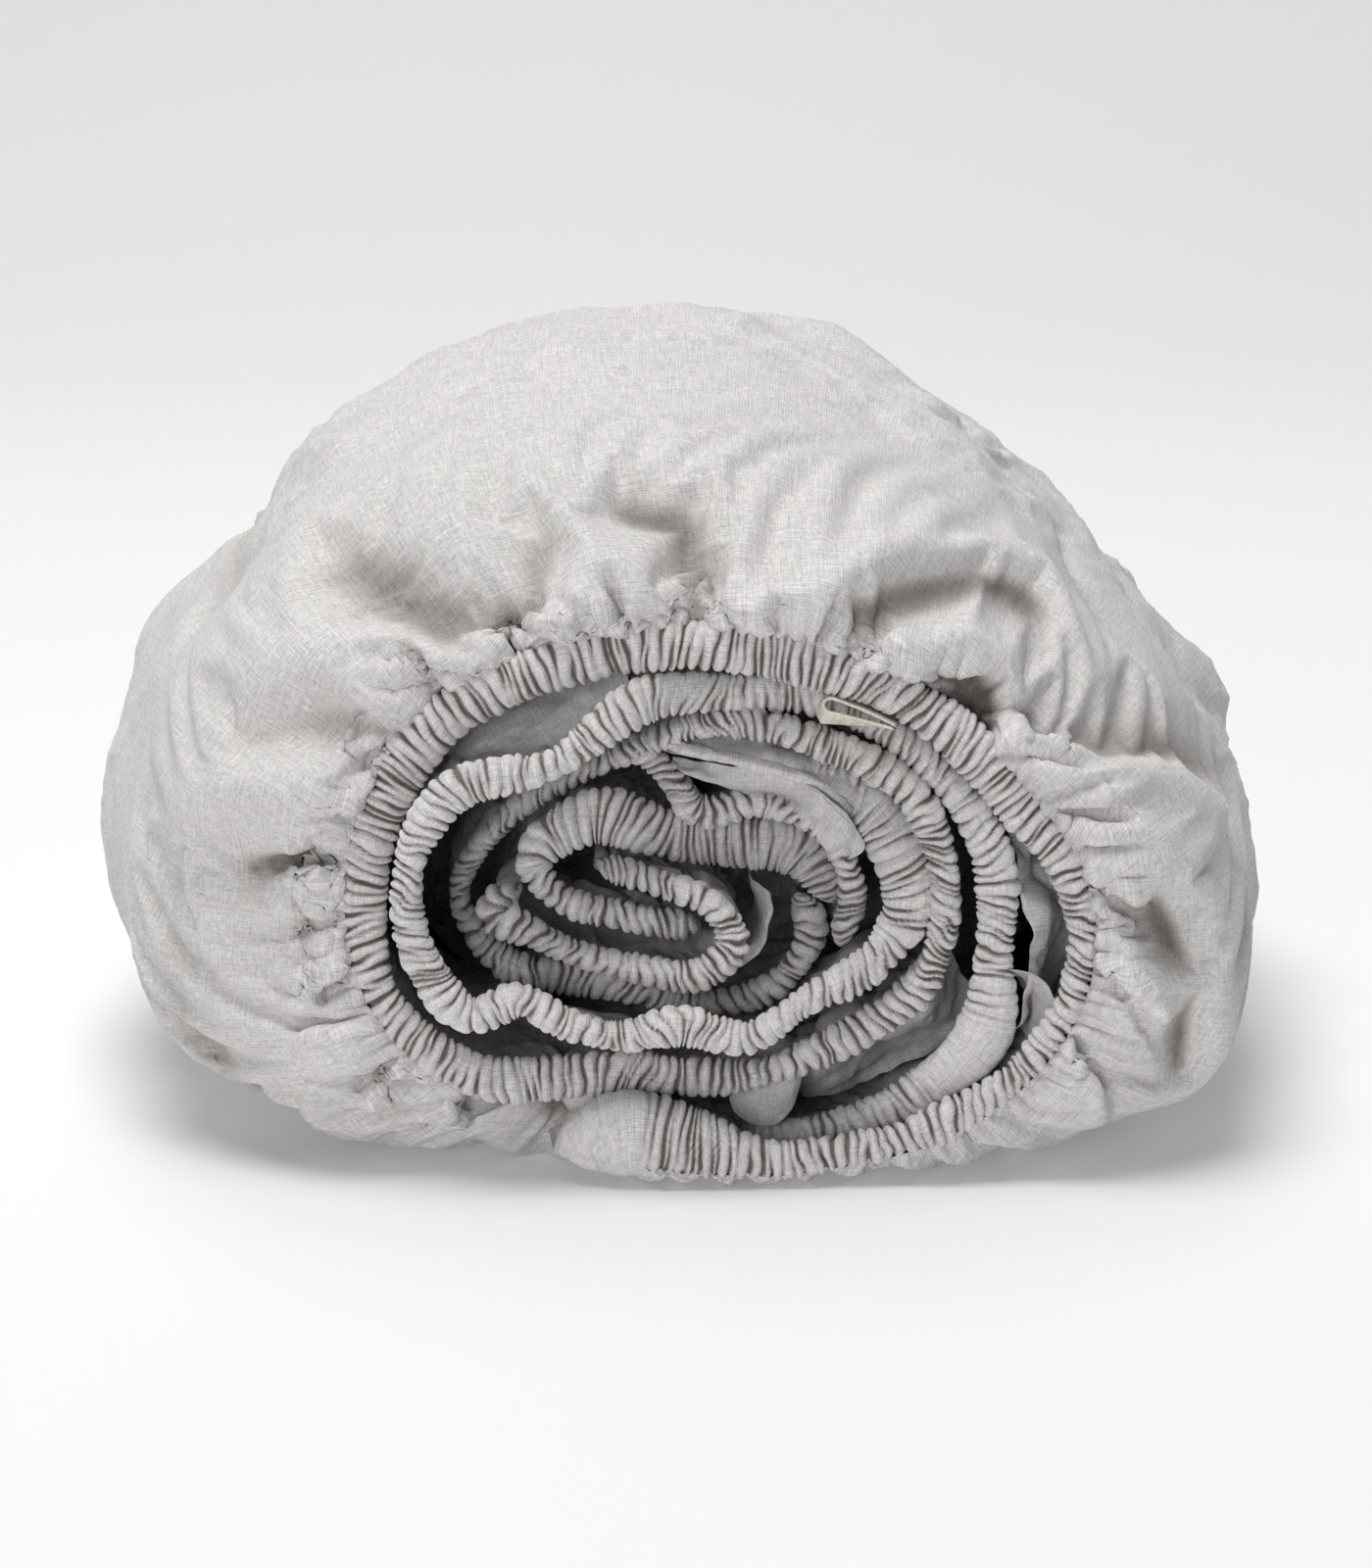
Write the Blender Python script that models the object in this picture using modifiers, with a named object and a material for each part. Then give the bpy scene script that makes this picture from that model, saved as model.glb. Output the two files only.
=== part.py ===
"""A fitted linen bed sheet, rolled up and lying on its side, with its elastic hem wound up on the front end.

The tables hold millimetres and the meshes hold metres. +Y runs along the roll, away from the gathered
front end, +X is to the right of someone who looks at that end, and +Z is up.
"""

import math
from collections import namedtuple

import bmesh
import bpy
import numpy as np

MM = 0.001

# Main sizes of the roll
ROLL_LENGTH = 340.0
FLARE_DEPTH = 78.0  # the cloth swells from the hem ring to the full roll within this depth
FLARE_DEPTH_BELOW = 34.0  # and under the ring, where it sags to the surface, within this one
SAG_SPREAD = 1.6  # how fast the sag takes over from the sides towards the bottom
BARREL_END = 292.0  # from here the far end is rounded
BEHIND_RING = 2.0  # the outer cloth leaves the ring this far behind its front edge
HUB_SHARE = 0.30  # the rounded far end turns flat at this share of the section's width
RECESS_DEPTH = 46.0  # the middle of the front end is sunk this far behind the ring
WALL_ROOT = 9.0  # each turn of the hem runs this far into the body behind the recess
FAR_CENTRE_HEIGHT = 0.45  # the far end's middle, as a share of its height
FLAT_SINK = 4.0  # the round underside would reach this far below the surface that it rests on

# The opening of the gathered end, an oval that each point of the ring is measured against
MOUTH_CENTRE = (0.0, 70.0)
MOUTH_HALF = (92.0, 66.0)
MOUTH_STEP = 2.0
MOUTH_OUTSIDE = 0.7  # the outer cloth starts this share of the ring's half width outside its middle
MOUTH_INSIDE = -0.6  # and the recess starts this share inside it

# The oval that the outlines across the roll are measured against
SECTION_CENTRE = (-8.0, 78.0)
SECTION_HALF = (150.0, 110.0)
OUTLINE_STEPS = 1440

# How full the roll's section is: 2 is an ellipse, less is a sloping shoulder, more is a squarer corner
FULLNESS_LEFT = 2.1
FULLNESS_RIGHT = 1.68
FULLNESS_BELOW = 2.7

# Sections across the roll: reach to the left and right of the ring's centre, height and where it is widest
Section = namedtuple("Section", "depth left right peak top widest_at")
SECTIONS = (
    Section(78, 151, 142, -16, 184, 58),
    Section(130, 160, 146, -14, 193, 57),
    Section(185, 160, 146, -12, 198, 56),
    Section(240, 154, 140, -9, 191, 56),
    Section(292, 141, 128, -5, 174, 56),
)

# The hem's turns as they lie on the front end: where each bends, how deep it lies and how wide it looks
Bend = namedtuple("Bend", "x z depth width")
TURNS = {
    "ring": (
        Bend(-15, 11, 0, 11), Bend(2, 7, -2, 10), Bend(27, 8, -1, 9), Bend(52, 14, 0, 9.5),
        Bend(76, 29, 2, 8), Bend(89, 49, 4, 8), Bend(91, 65, 6, 8), Bend(87, 79, 7, 9),
        Bend(76, 93, 9, 10.5), Bend(55, 116, 10, 11), Bend(26, 130, 10, 11.5), Bend(-8, 135, 10, 11),
        Bend(-36, 131, 10, 11), Bend(-68, 116, 9, 11.5), Bend(-83, 95, 9, 12), Bend(-88, 72, 9, 11),
        Bend(-84, 47, 7, 9), Bend(-61, 27, 6, 10.5), Bend(-26, 26, 10, 10.5),
    ),
    "second": (
        Bend(-18, 26, 12, 9), Bend(14, 26, 12, 8.5), Bend(29, 33, 11, 10), Bend(53, 52, 10, 9),
        Bend(57, 70, 10, 7.5), Bend(48, 97, 14, 9), Bend(27, 108, 20, 10), Bend(2, 112, 28, 7.5),
        Bend(-25, 102, 34, 6.5), Bend(-51, 88, 34, 6), Bend(-65, 66, 32, 6.5), Bend(-54, 50, 28, 7.5),
        Bend(-29, 46, 26, 9.5), Bend(-5, 39, 28, 6), Bend(17, 45, 30, 7), Bend(24, 59, 34, 8.5),
        Bend(20, 66, 36, 8),
    ),
    "front": (
        Bend(5, 7, 22, 6), Bend(23, 8, 18, 7.5), Bend(52, 22, 10, 9.5), Bend(67, 36, 8, 12),
        Bend(69, 58, 8, 9), Bend(68, 83, 10, 10), Bend(55, 102, 15, 8.5), Bend(27, 118, 26, 7.5),
        Bend(2, 120, 26, 9), Bend(-17, 122, 8, 11), Bend(-41, 107, -1, 8), Bend(-65, 101, -4, 11),
        Bend(-76, 82, -4, 8), Bend(-73, 59, -6, 9.5), Bend(-60, 45, -7, 9), Bend(-49, 49, -7, 9),
        Bend(-37, 43, -8, 9), Bend(-23, 40, -8, 8), Bend(-10, 43, -8, 10.5), Bend(8, 39, -6, 7.5),
        Bend(21, 47, -3, 7), Bend(44, 59, 6, 10), Bend(48, 71, 12, 10), Bend(33, 93, 24, 8.5),
    ),
    "rope": (
        Bend(-25, 106, 36, 6), Bend(-12, 98, 30, 7), Bend(-6, 90, 27, 7.5), Bend(12, 92, 24, 7),
        Bend(26, 86, 22, 7), Bend(34, 72, 20, 7.5), Bend(31, 55, 24, 6.5),
    ),
    "hairpin": (
        Bend(30, 64, 30, 7), Bend(24, 74, 27, 9), Bend(2, 79, 25, 11), Bend(-10, 80, 24, 11),
        Bend(-32, 89, 22, 11), Bend(-46, 78, 22, 9), Bend(-42, 71, 21, 8), Bend(-20, 63, 21, 8),
        Bend(-4, 60, 23, 7),
    ),
    "core": (
        Bend(-31, 75, 30, 7), Bend(-14, 73, 19, 7.5), Bend(-1, 69, 12, 8), Bend(4, 61, 10, 9),
        Bend(-4, 52, 12, 8), Bend(-18, 52, 15, 7), Bend(-43, 59, 18, 7), Bend(-55, 67, 20, 10),
        Bend(-49, 71, 24, 7),
    ),
}
CLOSED_RING_BENDS = 18  # the first bends of the ring go once round the opening

# Soft folds of the outer cloth. "turn" is degrees round the roll, 0 at the right and 90 on top, and "back"
# is the distance along the cloth from the ring. A positive height is a ridge and a negative one a trough.
Fold = namedtuple("Fold", "width height places")
Place = namedtuple("Place", "turn back")
FOLDS = {
    "upper left valley": Fold(26, -5, ((130, 59), (127, 37), (124, 19))),
    "upper left ridge": Fold(24, 4, ((148, 46), (136, 28), (131, 21))),
    "left valley": Fold(26, -4, ((157, 40), (150, 26), (146, 14))),
    "left ridge": Fold(26, 4, ((173, 57), (162, 27), (161, 9))),
    "left crease": Fold(20, -5, ((178, 31), (175, 17), (169, 8))),
    "left hollow": Fold(38, -5, ((-177, 16), (-162, 12))),
    "lower left ridge": Fold(22, 4, ((-155, 25), (-148, 22), (-140, 19))),
    "lower left notch": Fold(20, -4, ((-126, 2), (-119, 6), (-113, 13))),
    "top valley": Fold(24, -4, ((97, 42), (92, 37), (92, 18), (91, 6))),
    "arch": Fold(20, 6, ((87, 5), (80, 10), (70, 25), (63, 38), (54, 55), (46, 67), (41, 56))),
    "under the arch": Fold(22, -6, ((70, 11), (64, 24), (56, 41), (49, 52), (43, 55))),
    "second arch": Fold(20, 4, ((64, 4), (55, 18), (49, 21), (42, 21))),
    "right valley": Fold(32, -5, ((47, 4), (38, 8), (29, 18), (21, 39), (4, 117))),
    "right ridge": Fold(22, 5, ((34, 7), (28, 16), (19, 33), (6, 62))),
    "lower right ridge": Fold(20, 4, ((27, 7), (16, 14), (9, 19), (2, 28))),
    "outer right ridge": Fold(24, 6, ((13, 10), (7, 15), (0, 24), (-9, 36), (-13, 39))),
    "right trough": Fold(22, -6, ((-2, 19), (-10, 26), (-15, 32), (-22, 32), (-28, 36))),
    "low right ray": Fold(20, 4, ((-15, 6), (-23, 15), (-28, 26))),
    "notch on the shoulder": Fold(22, 5, ((130, 150), (126, 131))),
    "shoulder wrinkle": Fold(22, 3, ((120, 83), (112, 105), (102, 150))),
    "left swell": Fold(84, 5, ((172, 120), (182, 190))),
    "long fold on top": Fold(41, 4, ((60, 130), (72, 190), (78, 260))),
    "long valley on the right": Fold(41, -4, ((24, 150), (34, 210), (42, 290))),
    "long valley on the left": Fold(46, -5, ((148, 130), (142, 200), (150, 290))),
    "far left ridge": Fold(36, 5, ((164, 200), (172, 270), (168, 320))),
    "far right ridge": Fold(36, 5, ((8, 190), (-2, 250), (4, 310))),
}

# The far end shows the roll's wound layers as soft ridges along a spiral
SPIRAL_LAYERS = 3.0
SPIRAL_DEPTH = 7.0
SPIRAL_FADE = (0.94, 0.80)  # the spiral fades out between these shares of the section's width

# Loose cloth that swells out between the turns of the hem: middle, and half of its size each way
Puff = namedtuple("Puff", "x z depth half_x half_z half_depth")
PUFFS = {
    "corner pocket": Puff(-18, 12.9, 12, 21, 12.5, 16),
    "right of the front turn": Puff(78, 62, 30, 7, 19, 18),
    "upper left, behind the front turn": Puff(-45, 117, 30, 13, 9, 18),
    "low, behind the second turn": Puff(31, 20, 40, 17, 10, 14),
}

# Steps of the meshes
STEPS_AROUND = 118
RECESS_ROWS = 3
FLARE_ROWS = 8
BARREL_ROWS = 9
FAR_END_ROWS = 14
FADE_ROWS = 3  # over this many rows before the far end the folds fade out
FINE_STEPS = 40  # for each bend, where a smooth curve is measured
PUFF_SEGMENTS = 14
PUFF_RINGS = 8
TURN_STEP = 6.5  # along each turn of the hem

# A turn of the hem in section: share of its half width, and depth behind its front edge
EdgePoint = namedtuple("EdgePoint", "share depth")
ROUNDED_FRONT = (EdgePoint(-1.0, 3.0), EdgePoint(-0.5, 0.0), EdgePoint(0.5, 0.0), EdgePoint(1.0, 3.0))

# The blank label, a folded tape that pokes out under the ring's inner edge
LABEL_FROM = 210.0  # along the ring, from its first bend
LABEL_TO = 228.0
LABEL_DEPTH = (11.0, 18.5)
LABEL_THICK = 1.0
LABEL_OPEN = 3.6  # between the two layers at the fold
LABEL_CLOSED = 1.5  # and where they go in together
LABEL_STEPS = 8
CLEARANCE = 0.35

# The two cloths, matt as unpolished thread is
LINEN_COLOUR = (0.58, 0.56, 0.54)
LINEN_ROUGHNESS = 0.9
TAPE_COLOUR = (0.72, 0.66, 0.56)
TAPE_ROUGHNESS = 0.8
SHARP_ANGLE = 50.0  # degrees; edges past this are shaded sharp


def smooth_between(keys, values, at):
    """Values of a smooth curve through the keys, with tangents from their neighbours."""
    keys = np.asarray(keys, float)
    values = np.asarray(values, float)
    slopes = np.gradient(values, keys, axis=0)
    at = np.clip(at, keys[0], keys[-1])
    left = np.clip(np.searchsorted(keys, at, side="right") - 1, 0, len(keys) - 2)
    gap = keys[left + 1] - keys[left]
    t = (at - keys[left]) / gap
    shape = (-1,) + (1,) * (values.ndim - 1)
    t, gap = t.reshape(shape), gap.reshape(shape)
    return (
        values[left] * (2 * t**3 - 3 * t**2 + 1)
        + slopes[left] * gap * (t**3 - 2 * t**2 + t)
        + values[left + 1] * (3 * t**2 - 2 * t**3)
        + slopes[left + 1] * gap * (t**3 - t**2)
    )


def even_path(bends, step):
    """The bends joined by a smooth curve, as rows of x, z, depth and width at an even step."""
    bends = np.asarray(bends, float)
    chord = np.linalg.norm(np.diff(bends[:, :2], axis=0), axis=1)
    knots = np.concatenate([[0], np.cumsum(chord)])
    fine = smooth_between(knots, bends, np.linspace(0, knots[-1], FINE_STEPS * len(bends)))
    length = np.concatenate([[0], np.cumsum(np.linalg.norm(np.diff(fine[:, :2], axis=0), axis=1))])
    steps = max(2, round(length[-1] / step))
    at = np.linspace(0, length[-1], steps + 1)
    return np.stack([np.interp(at, length, column) for column in fine.T], axis=1), at


def side_of(path):
    """The direction across a path in the plane of the front end, to the left of its run."""
    run = np.gradient(path[:, :2], axis=0)
    run /= np.linalg.norm(run, axis=1)[:, None]
    return np.stack([-run[:, 1], run[:, 0]], axis=1)


def angles_around():
    return np.linspace(-math.pi, math.pi, STEPS_AROUND, endpoint=False)


def signed_power(values, power):
    return np.sign(values) * np.abs(values) ** power


def around_oval(points, values, angle, centre, half):
    """Values at the points of a closed line, read at these angles round an oval."""
    across = (points - centre) / half
    turn = np.arctan2(across[:, 1], across[:, 0])
    order = np.argsort(turn)
    return np.interp(angle, turn[order], values[order], period=2 * math.pi)


def oval_share(points, angle, centre, half):
    """A closed line of points as shares of an oval's half sizes, at these angles round it."""
    share = np.linalg.norm((points - centre) / half, axis=1)
    return around_oval(points, share, angle, centre, half)


def oval_points(share, angle, centre, half):
    """The points at these shares of an oval's half sizes."""
    return np.stack([np.cos(angle), np.sin(angle)], axis=1) * half * share[:, None] + centre


def section_outline(depth, angle):
    """The roll's outline at a depth, without folds: a slumped oval with a flat spot below."""
    depths = [section.depth for section in SECTIONS]
    table = np.array([section[1:] for section in SECTIONS], float)
    left, right, peak, top, widest_at = smooth_between(depths, table, np.array([depth]))[0]
    fine = np.linspace(-math.pi, math.pi, OUTLINE_STEPS, endpoint=False)
    cos, sin = np.cos(fine), np.sin(fine)
    fullness = np.where(cos > 0, FULLNESS_RIGHT, FULLNESS_LEFT)
    fullness = np.where(sin < 0, FULLNESS_BELOW, fullness)
    half = np.where(cos > 0, right - peak, left + peak)
    rise = np.where(sin > 0, top - widest_at, widest_at + FLAT_SINK)
    x = peak + half * signed_power(cos, 2 / fullness)
    z = np.maximum(widest_at + rise * signed_power(sin, 2 / fullness), 0)
    share = oval_share(np.stack([x, z], axis=1), angle, SECTION_CENTRE, SECTION_HALF)
    outline = oval_points(share, angle, SECTION_CENTRE, SECTION_HALF)
    return np.stack([outline[:, 0], np.maximum(outline[:, 1], 0)], axis=1)


def evened(values):
    """Values round a closed line, each averaged with its neighbours."""
    return (np.roll(values, 1) + 2 * values + np.roll(values, -1)) / 4


def mouth_outline(angle, beside):
    """The line beside the ring's first turn, this share of its half width further out."""
    path, _ = even_path(TURNS["ring"][:CLOSED_RING_BENDS], MOUTH_STEP)
    edge = path[:, :2] - side_of(path) * (path[:, 3:4] / 2 * beside)
    share = evened(oval_share(edge, angle, MOUTH_CENTRE, MOUTH_HALF))
    depth = evened(around_oval(edge, path[:, 2], angle, MOUTH_CENTRE, MOUTH_HALF))
    return oval_points(share, angle, MOUTH_CENTRE, MOUTH_HALF), depth


def with_depth(outline, depth):
    """Points x, y, z from an outline in x and z and its depth."""
    depth = np.broadcast_to(depth, len(outline))
    return np.stack([outline[:, 0], depth, outline[:, 1]], axis=1)


def outer_rows():
    """Rows of points from the ring's outer edge over the outer cloth to where the far end rounds off."""
    angle = angles_around()
    mouth, mouth_depth = mouth_outline(angle, MOUTH_OUTSIDE)
    full = section_outline(FLARE_DEPTH, angle)
    below = np.clip(-SAG_SPREAD * np.sin(angle), 0, 1)
    reach = FLARE_DEPTH + (FLARE_DEPTH_BELOW - FLARE_DEPTH) * below
    rows = []
    for bend in np.linspace(0, math.pi / 2, FLARE_ROWS):
        outline = mouth + (full - mouth) * math.sin(bend)
        depth = mouth_depth + BEHIND_RING + (reach - mouth_depth - BEHIND_RING) * (1 - math.cos(bend))
        rows.append(with_depth(outline, depth))
    for depth in np.linspace(FLARE_DEPTH, BARREL_END, BARREL_ROWS)[1:]:
        rows.append(with_depth(section_outline(depth, angle), depth))
    return np.array(rows)


def far_end_rows():
    """Rows of points over the rounded far end, and its middle."""
    angle = angles_around()
    last = section_outline(BARREL_END, angle)
    centre = np.array([SECTIONS[-1].peak, SECTIONS[-1].top * FAR_CENTRE_HEIGHT])
    rows = []
    for share in np.linspace(1, 0, FAR_END_ROWS + 1)[1:-1]:
        off_hub = max(0, (share - HUB_SHARE) / (1 - HUB_SHARE))
        bulge = math.sqrt(1 - off_hub**2)
        layer = SPIRAL_LAYERS * share + angle / (2 * math.pi)
        fade = np.clip((SPIRAL_FADE[0] - share) / (SPIRAL_FADE[0] - SPIRAL_FADE[1]), 0, 1)
        groove = SPIRAL_DEPTH * fade * (1 - np.cos(2 * math.pi * layer)) / 2
        depth = BARREL_END + (ROLL_LENGTH - BARREL_END) * bulge - groove
        rows.append(with_depth(centre + (last - centre) * share, depth))
    return rows, with_depth(centre[None, :], ROLL_LENGTH - SPIRAL_DEPTH / 2)[0]


def distance_along(rows):
    """How far each point of the rows lies along the cloth from the first row."""
    steps = [np.linalg.norm(after - before, axis=1) for before, after in zip(rows, rows[1:])]
    return np.concatenate([np.zeros((1, rows.shape[1])), np.cumsum(steps, axis=0)])


def outward(rows):
    """The cloth's outward direction at each point of the rows."""
    along = np.gradient(rows, axis=0)
    around = (np.roll(rows, -1, axis=1) - np.roll(rows, 1, axis=1)) / 2
    normal = np.cross(along, around)
    return normal / np.maximum(np.linalg.norm(normal, axis=2), 1e-9)[..., None]


def fold_height(rows):
    """The height of the folds at each point of the rows."""
    back = distance_along(rows)
    turn = np.degrees(angles_around())[None, :]
    spacing = np.linalg.norm(np.roll(rows, -1, axis=1) - np.roll(rows, 1, axis=1), axis=2)
    per_degree = spacing / (2 * 360 / STEPS_AROUND)
    height = np.zeros(back.shape)
    for fold in FOLDS.values():
        off = np.full(back.shape, np.inf)
        places = [Place(*place) for place in fold.places]
        for start, end in zip(places, places[1:]):
            around = ((turn - start.turn + 180) % 360 - 180) * per_degree
            run = (end.turn - start.turn) * per_degree
            rise = end.back - start.back
            share = np.clip((around * run + (back - start.back) * rise) / (run**2 + rise**2), 0, 1)
            off = np.minimum(off, np.hypot(around - share * run, back - start.back - share * rise))
        height += fold.height * np.exp(-((off / (fold.width / 2)) ** 2))
    return height


def fold_fade():
    """The folds fade out towards the last row, which meets the far end."""
    row = np.arange(FLARE_ROWS + BARREL_ROWS - 1)
    return np.clip((row[-1] - row) / FADE_ROWS, 0, 1)


def body_mesh():
    """The wound cloth without the hem's turns: a sunk front end, the outer cloth and the far end."""
    outer = outer_rows()
    far, far_centre = far_end_rows()
    outer = outer + outward(outer) * fold_height(outer)[..., None] * fold_fade()[:, None, None]
    outer[..., 2] = np.maximum(outer[..., 2], 0)
    inner_edge, _ = mouth_outline(angles_around(), MOUTH_INSIDE)
    recess = [
        with_depth(MOUTH_CENTRE + (inner_edge - MOUTH_CENTRE) * share, RECESS_DEPTH)
        for share in np.linspace(0, 1, RECESS_ROWS + 1)[1:]
    ]
    rows = recess + list(outer) + far
    near_centre = (MOUTH_CENTRE[0], RECESS_DEPTH, MOUTH_CENTRE[1])
    return lofted("body", rows, near_centre, far_centre)


def lofted(name, rows, first_centre, last_centre):
    """A closed mesh of rings of points, with a fan of faces over each end."""
    mesh = bmesh.new()
    rings = [[mesh.verts.new(np.asarray(point) * MM) for point in row] for row in rows]
    count = len(rings[0])
    for ring, after in zip(rings, rings[1:]):
        for i in range(count):
            j = (i + 1) % count
            mesh.faces.new((ring[i], ring[j], after[j], after[i]))
    for ring, centre in ((rings[0], first_centre), (rings[-1], last_centre)):
        middle = mesh.verts.new(np.asarray(centre) * MM)
        for i in range(count):
            mesh.faces.new((ring[i], ring[(i + 1) % count], middle))
    return finished_object(name, mesh)


def finished_object(name, mesh):
    """An object of the mesh, with its faces pointing out."""
    bmesh.ops.recalc_face_normals(mesh, faces=mesh.faces)
    data = bpy.data.meshes.new(name)
    mesh.to_mesh(data)
    mesh.free()
    return bpy.data.objects.new(name, data)


def hem_wall(name, bends, root):
    """One turn of the hem: a wall with a rounded front edge that reaches back into the body."""
    path, _ = even_path(bends, TURN_STEP)
    side = side_of(path)
    mesh = bmesh.new()
    rings = []
    for point, across in zip(path, side):
        x, z, depth, width = point
        profile = [(edge.share, depth + edge.depth) for edge in ROUNDED_FRONT]
        profile += [(1.0, root), (-1.0, root)]
        ring = []
        for share, back in profile:
            offset = across * share * width / 2
            ring.append(mesh.verts.new(np.array((x + offset[0], back, z + offset[1])) * MM))
        rings.append(ring)
    for ring, after in zip(rings, rings[1:]):
        for i in range(len(ring)):
            j = (i + 1) % len(ring)
            mesh.faces.new((ring[i], ring[j], after[j], after[i]))
    mesh.faces.new(rings[0])
    mesh.faces.new(rings[-1])
    return finished_object(name, mesh)


def puff_mesh(name, puff):
    """Loose cloth between the turns, as a stretched ball."""
    mesh = bmesh.new()
    bmesh.ops.create_uvsphere(mesh, u_segments=PUFF_SEGMENTS, v_segments=PUFF_RINGS, radius=1)
    half = (puff.half_x * MM, puff.half_depth * MM, puff.half_z * MM)
    bmesh.ops.scale(mesh, vec=half, verts=mesh.verts)
    bmesh.ops.translate(mesh, vec=(puff.x * MM, puff.depth * MM, puff.z * MM), verts=mesh.verts)
    return finished_object(name, mesh)


def label_object():
    """The folded tape: two layers under the ring's inner edge, joined by a round fold on the left."""
    path, at = even_path(TURNS["ring"], TURN_STEP)
    side = side_of(path)
    upper, lower = [], []
    for share in np.linspace(0, 1, LABEL_STEPS + 1):
        place = LABEL_TO + (LABEL_FROM - LABEL_TO) * share
        x, z, width, inward_x, inward_z = (
            np.interp(place, at, column)
            for column in (path[:, 0], path[:, 1], path[:, 3], side[:, 0], side[:, 1])
        )
        inward = np.array([inward_x, inward_z])
        reach = width / 2 + CLEARANCE + LABEL_THICK / 2
        apart = LABEL_OPEN + (LABEL_CLOSED - LABEL_OPEN) * share
        upper.append(np.array([x, z]) + inward * reach)
        lower.append(np.array([x, z]) + inward * (reach + apart))
    middle = (upper[0] + lower[0]) / 2
    half = (upper[0] - lower[0]) / 2
    outward_left = np.array([half[1], -half[0]])
    if outward_left @ (upper[1] - upper[0]) > 0:
        outward_left = -outward_left
    fold = [
        middle + half * math.cos(turn) + outward_left * math.sin(turn)
        for turn in np.linspace(0, math.pi, LABEL_STEPS + 1)[1:-1]
    ]
    line = upper[::-1] + fold + lower
    mesh = bmesh.new()
    edges = []
    for depth in LABEL_DEPTH:
        edges.append([mesh.verts.new(np.array((x, depth, z)) * MM) for x, z in line])
    for i in range(len(line) - 1):
        mesh.faces.new((edges[0][i], edges[0][i + 1], edges[1][i + 1], edges[1][i]))
    label = finished_object("label", mesh)
    thickness = label.modifiers.new("tape", "SOLIDIFY")
    thickness.thickness = LABEL_THICK * MM
    thickness.offset = 0
    return label


def cloth_material(name, colour, roughness):
    """A plain dyed cloth."""
    material = bpy.data.materials.new(name)
    material.use_nodes = True
    shader = material.node_tree.nodes["Principled BSDF"]
    shader.inputs["Base Color"].default_value = (*colour, 1.0)
    shader.inputs["Roughness"].default_value = roughness
    shader.inputs["Metallic"].default_value = 0.0
    return material


def collection_named(name):
    collection = bpy.data.collections.new(name)
    bpy.context.scene.collection.children.link(collection)
    return collection


def as_one_mesh(obj):
    """Applies an object's modifiers."""
    bpy.context.view_layer.update()
    graph = bpy.context.evaluated_depsgraph_get()
    finished = bpy.data.meshes.new_from_object(obj.evaluated_get(graph))
    obj.modifiers.clear()
    obj.data = finished


def stand_on_origin(objects):
    """Moves the meshes together so that the origin is under the middle of their box."""
    corners = np.array([vertex.co for obj in objects for vertex in obj.data.vertices])
    low, high = corners.min(axis=0), corners.max(axis=0)
    shift = np.array([(low[0] + high[0]) / 2, (low[1] + high[1]) / 2, low[2]])
    for obj in objects:
        for vertex in obj.data.vertices:
            vertex.co = np.array(vertex.co) - shift


def main():
    for obj in list(bpy.data.objects):
        bpy.data.objects.remove(obj, do_unlink=True)
    parts = collection_named("rolled_bed_sheet")
    tools = collection_named("construction")

    roll = body_mesh()
    roll.name = "rolled_sheet"
    parts.objects.link(roll)
    joined = [
        hem_wall("turn " + name, bends, RECESS_DEPTH + WALL_ROOT + number)
        for number, (name, bends) in enumerate(TURNS.items())
    ]
    joined += [puff_mesh("puff " + name, puff) for name, puff in PUFFS.items()]
    for shape in joined:
        shape.hide_render = True
        shape.display_type = "WIRE"
        tools.objects.link(shape)
        join = roll.modifiers.new("join " + shape.name, "BOOLEAN")
        join.operation = "UNION"
        join.solver = "EXACT"
        join.use_self = True
        join.object = shape
    label = label_object()
    parts.objects.link(label)
    for obj in (roll, label):
        as_one_mesh(obj)
    stand_on_origin((roll, label))
    roll.data.materials.clear()
    roll.data.materials.append(cloth_material("grey_linen", LINEN_COLOUR, LINEN_ROUGHNESS))
    label.data.materials.clear()
    label.data.materials.append(cloth_material("cream_tape", TAPE_COLOUR, TAPE_ROUGHNESS))
    for obj in (roll, label):
        obj.data.shade_smooth()
        obj.data.set_sharp_from_angle(angle=math.radians(SHARP_ANGLE))


main()
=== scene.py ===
"""Looks for a fitted linen bed sheet that is rolled up and lies on its side, with its gathered elastic hem
wound round the front end.

The tables hold millimetres in the roll's own axes, which are those of its CAD solid: x to the right from
the middle of the ring, y back from the front end, z up from the surface. SHIFT takes them to the frame.
"""

import math
from collections import namedtuple

import bpy
import numpy as np
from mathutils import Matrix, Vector, noise


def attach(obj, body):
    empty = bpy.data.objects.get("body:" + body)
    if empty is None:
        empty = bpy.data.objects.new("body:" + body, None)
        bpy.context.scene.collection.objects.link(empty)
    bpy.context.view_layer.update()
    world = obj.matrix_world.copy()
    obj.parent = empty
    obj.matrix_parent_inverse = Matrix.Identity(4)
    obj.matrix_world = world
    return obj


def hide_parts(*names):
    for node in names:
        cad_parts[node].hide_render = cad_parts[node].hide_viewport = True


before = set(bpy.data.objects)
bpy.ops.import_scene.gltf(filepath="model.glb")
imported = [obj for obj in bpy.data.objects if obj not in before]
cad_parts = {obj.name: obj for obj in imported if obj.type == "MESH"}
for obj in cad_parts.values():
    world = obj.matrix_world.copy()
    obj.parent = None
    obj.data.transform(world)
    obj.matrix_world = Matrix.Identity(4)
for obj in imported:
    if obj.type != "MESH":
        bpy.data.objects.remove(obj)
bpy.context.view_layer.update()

MM = 0.001
SHIFT = np.array((-9.4, 165.95, 0.0))
SEED = 41
RIDGE_SEEDS = 50  # added to a turn's own number for its ridges
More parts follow.
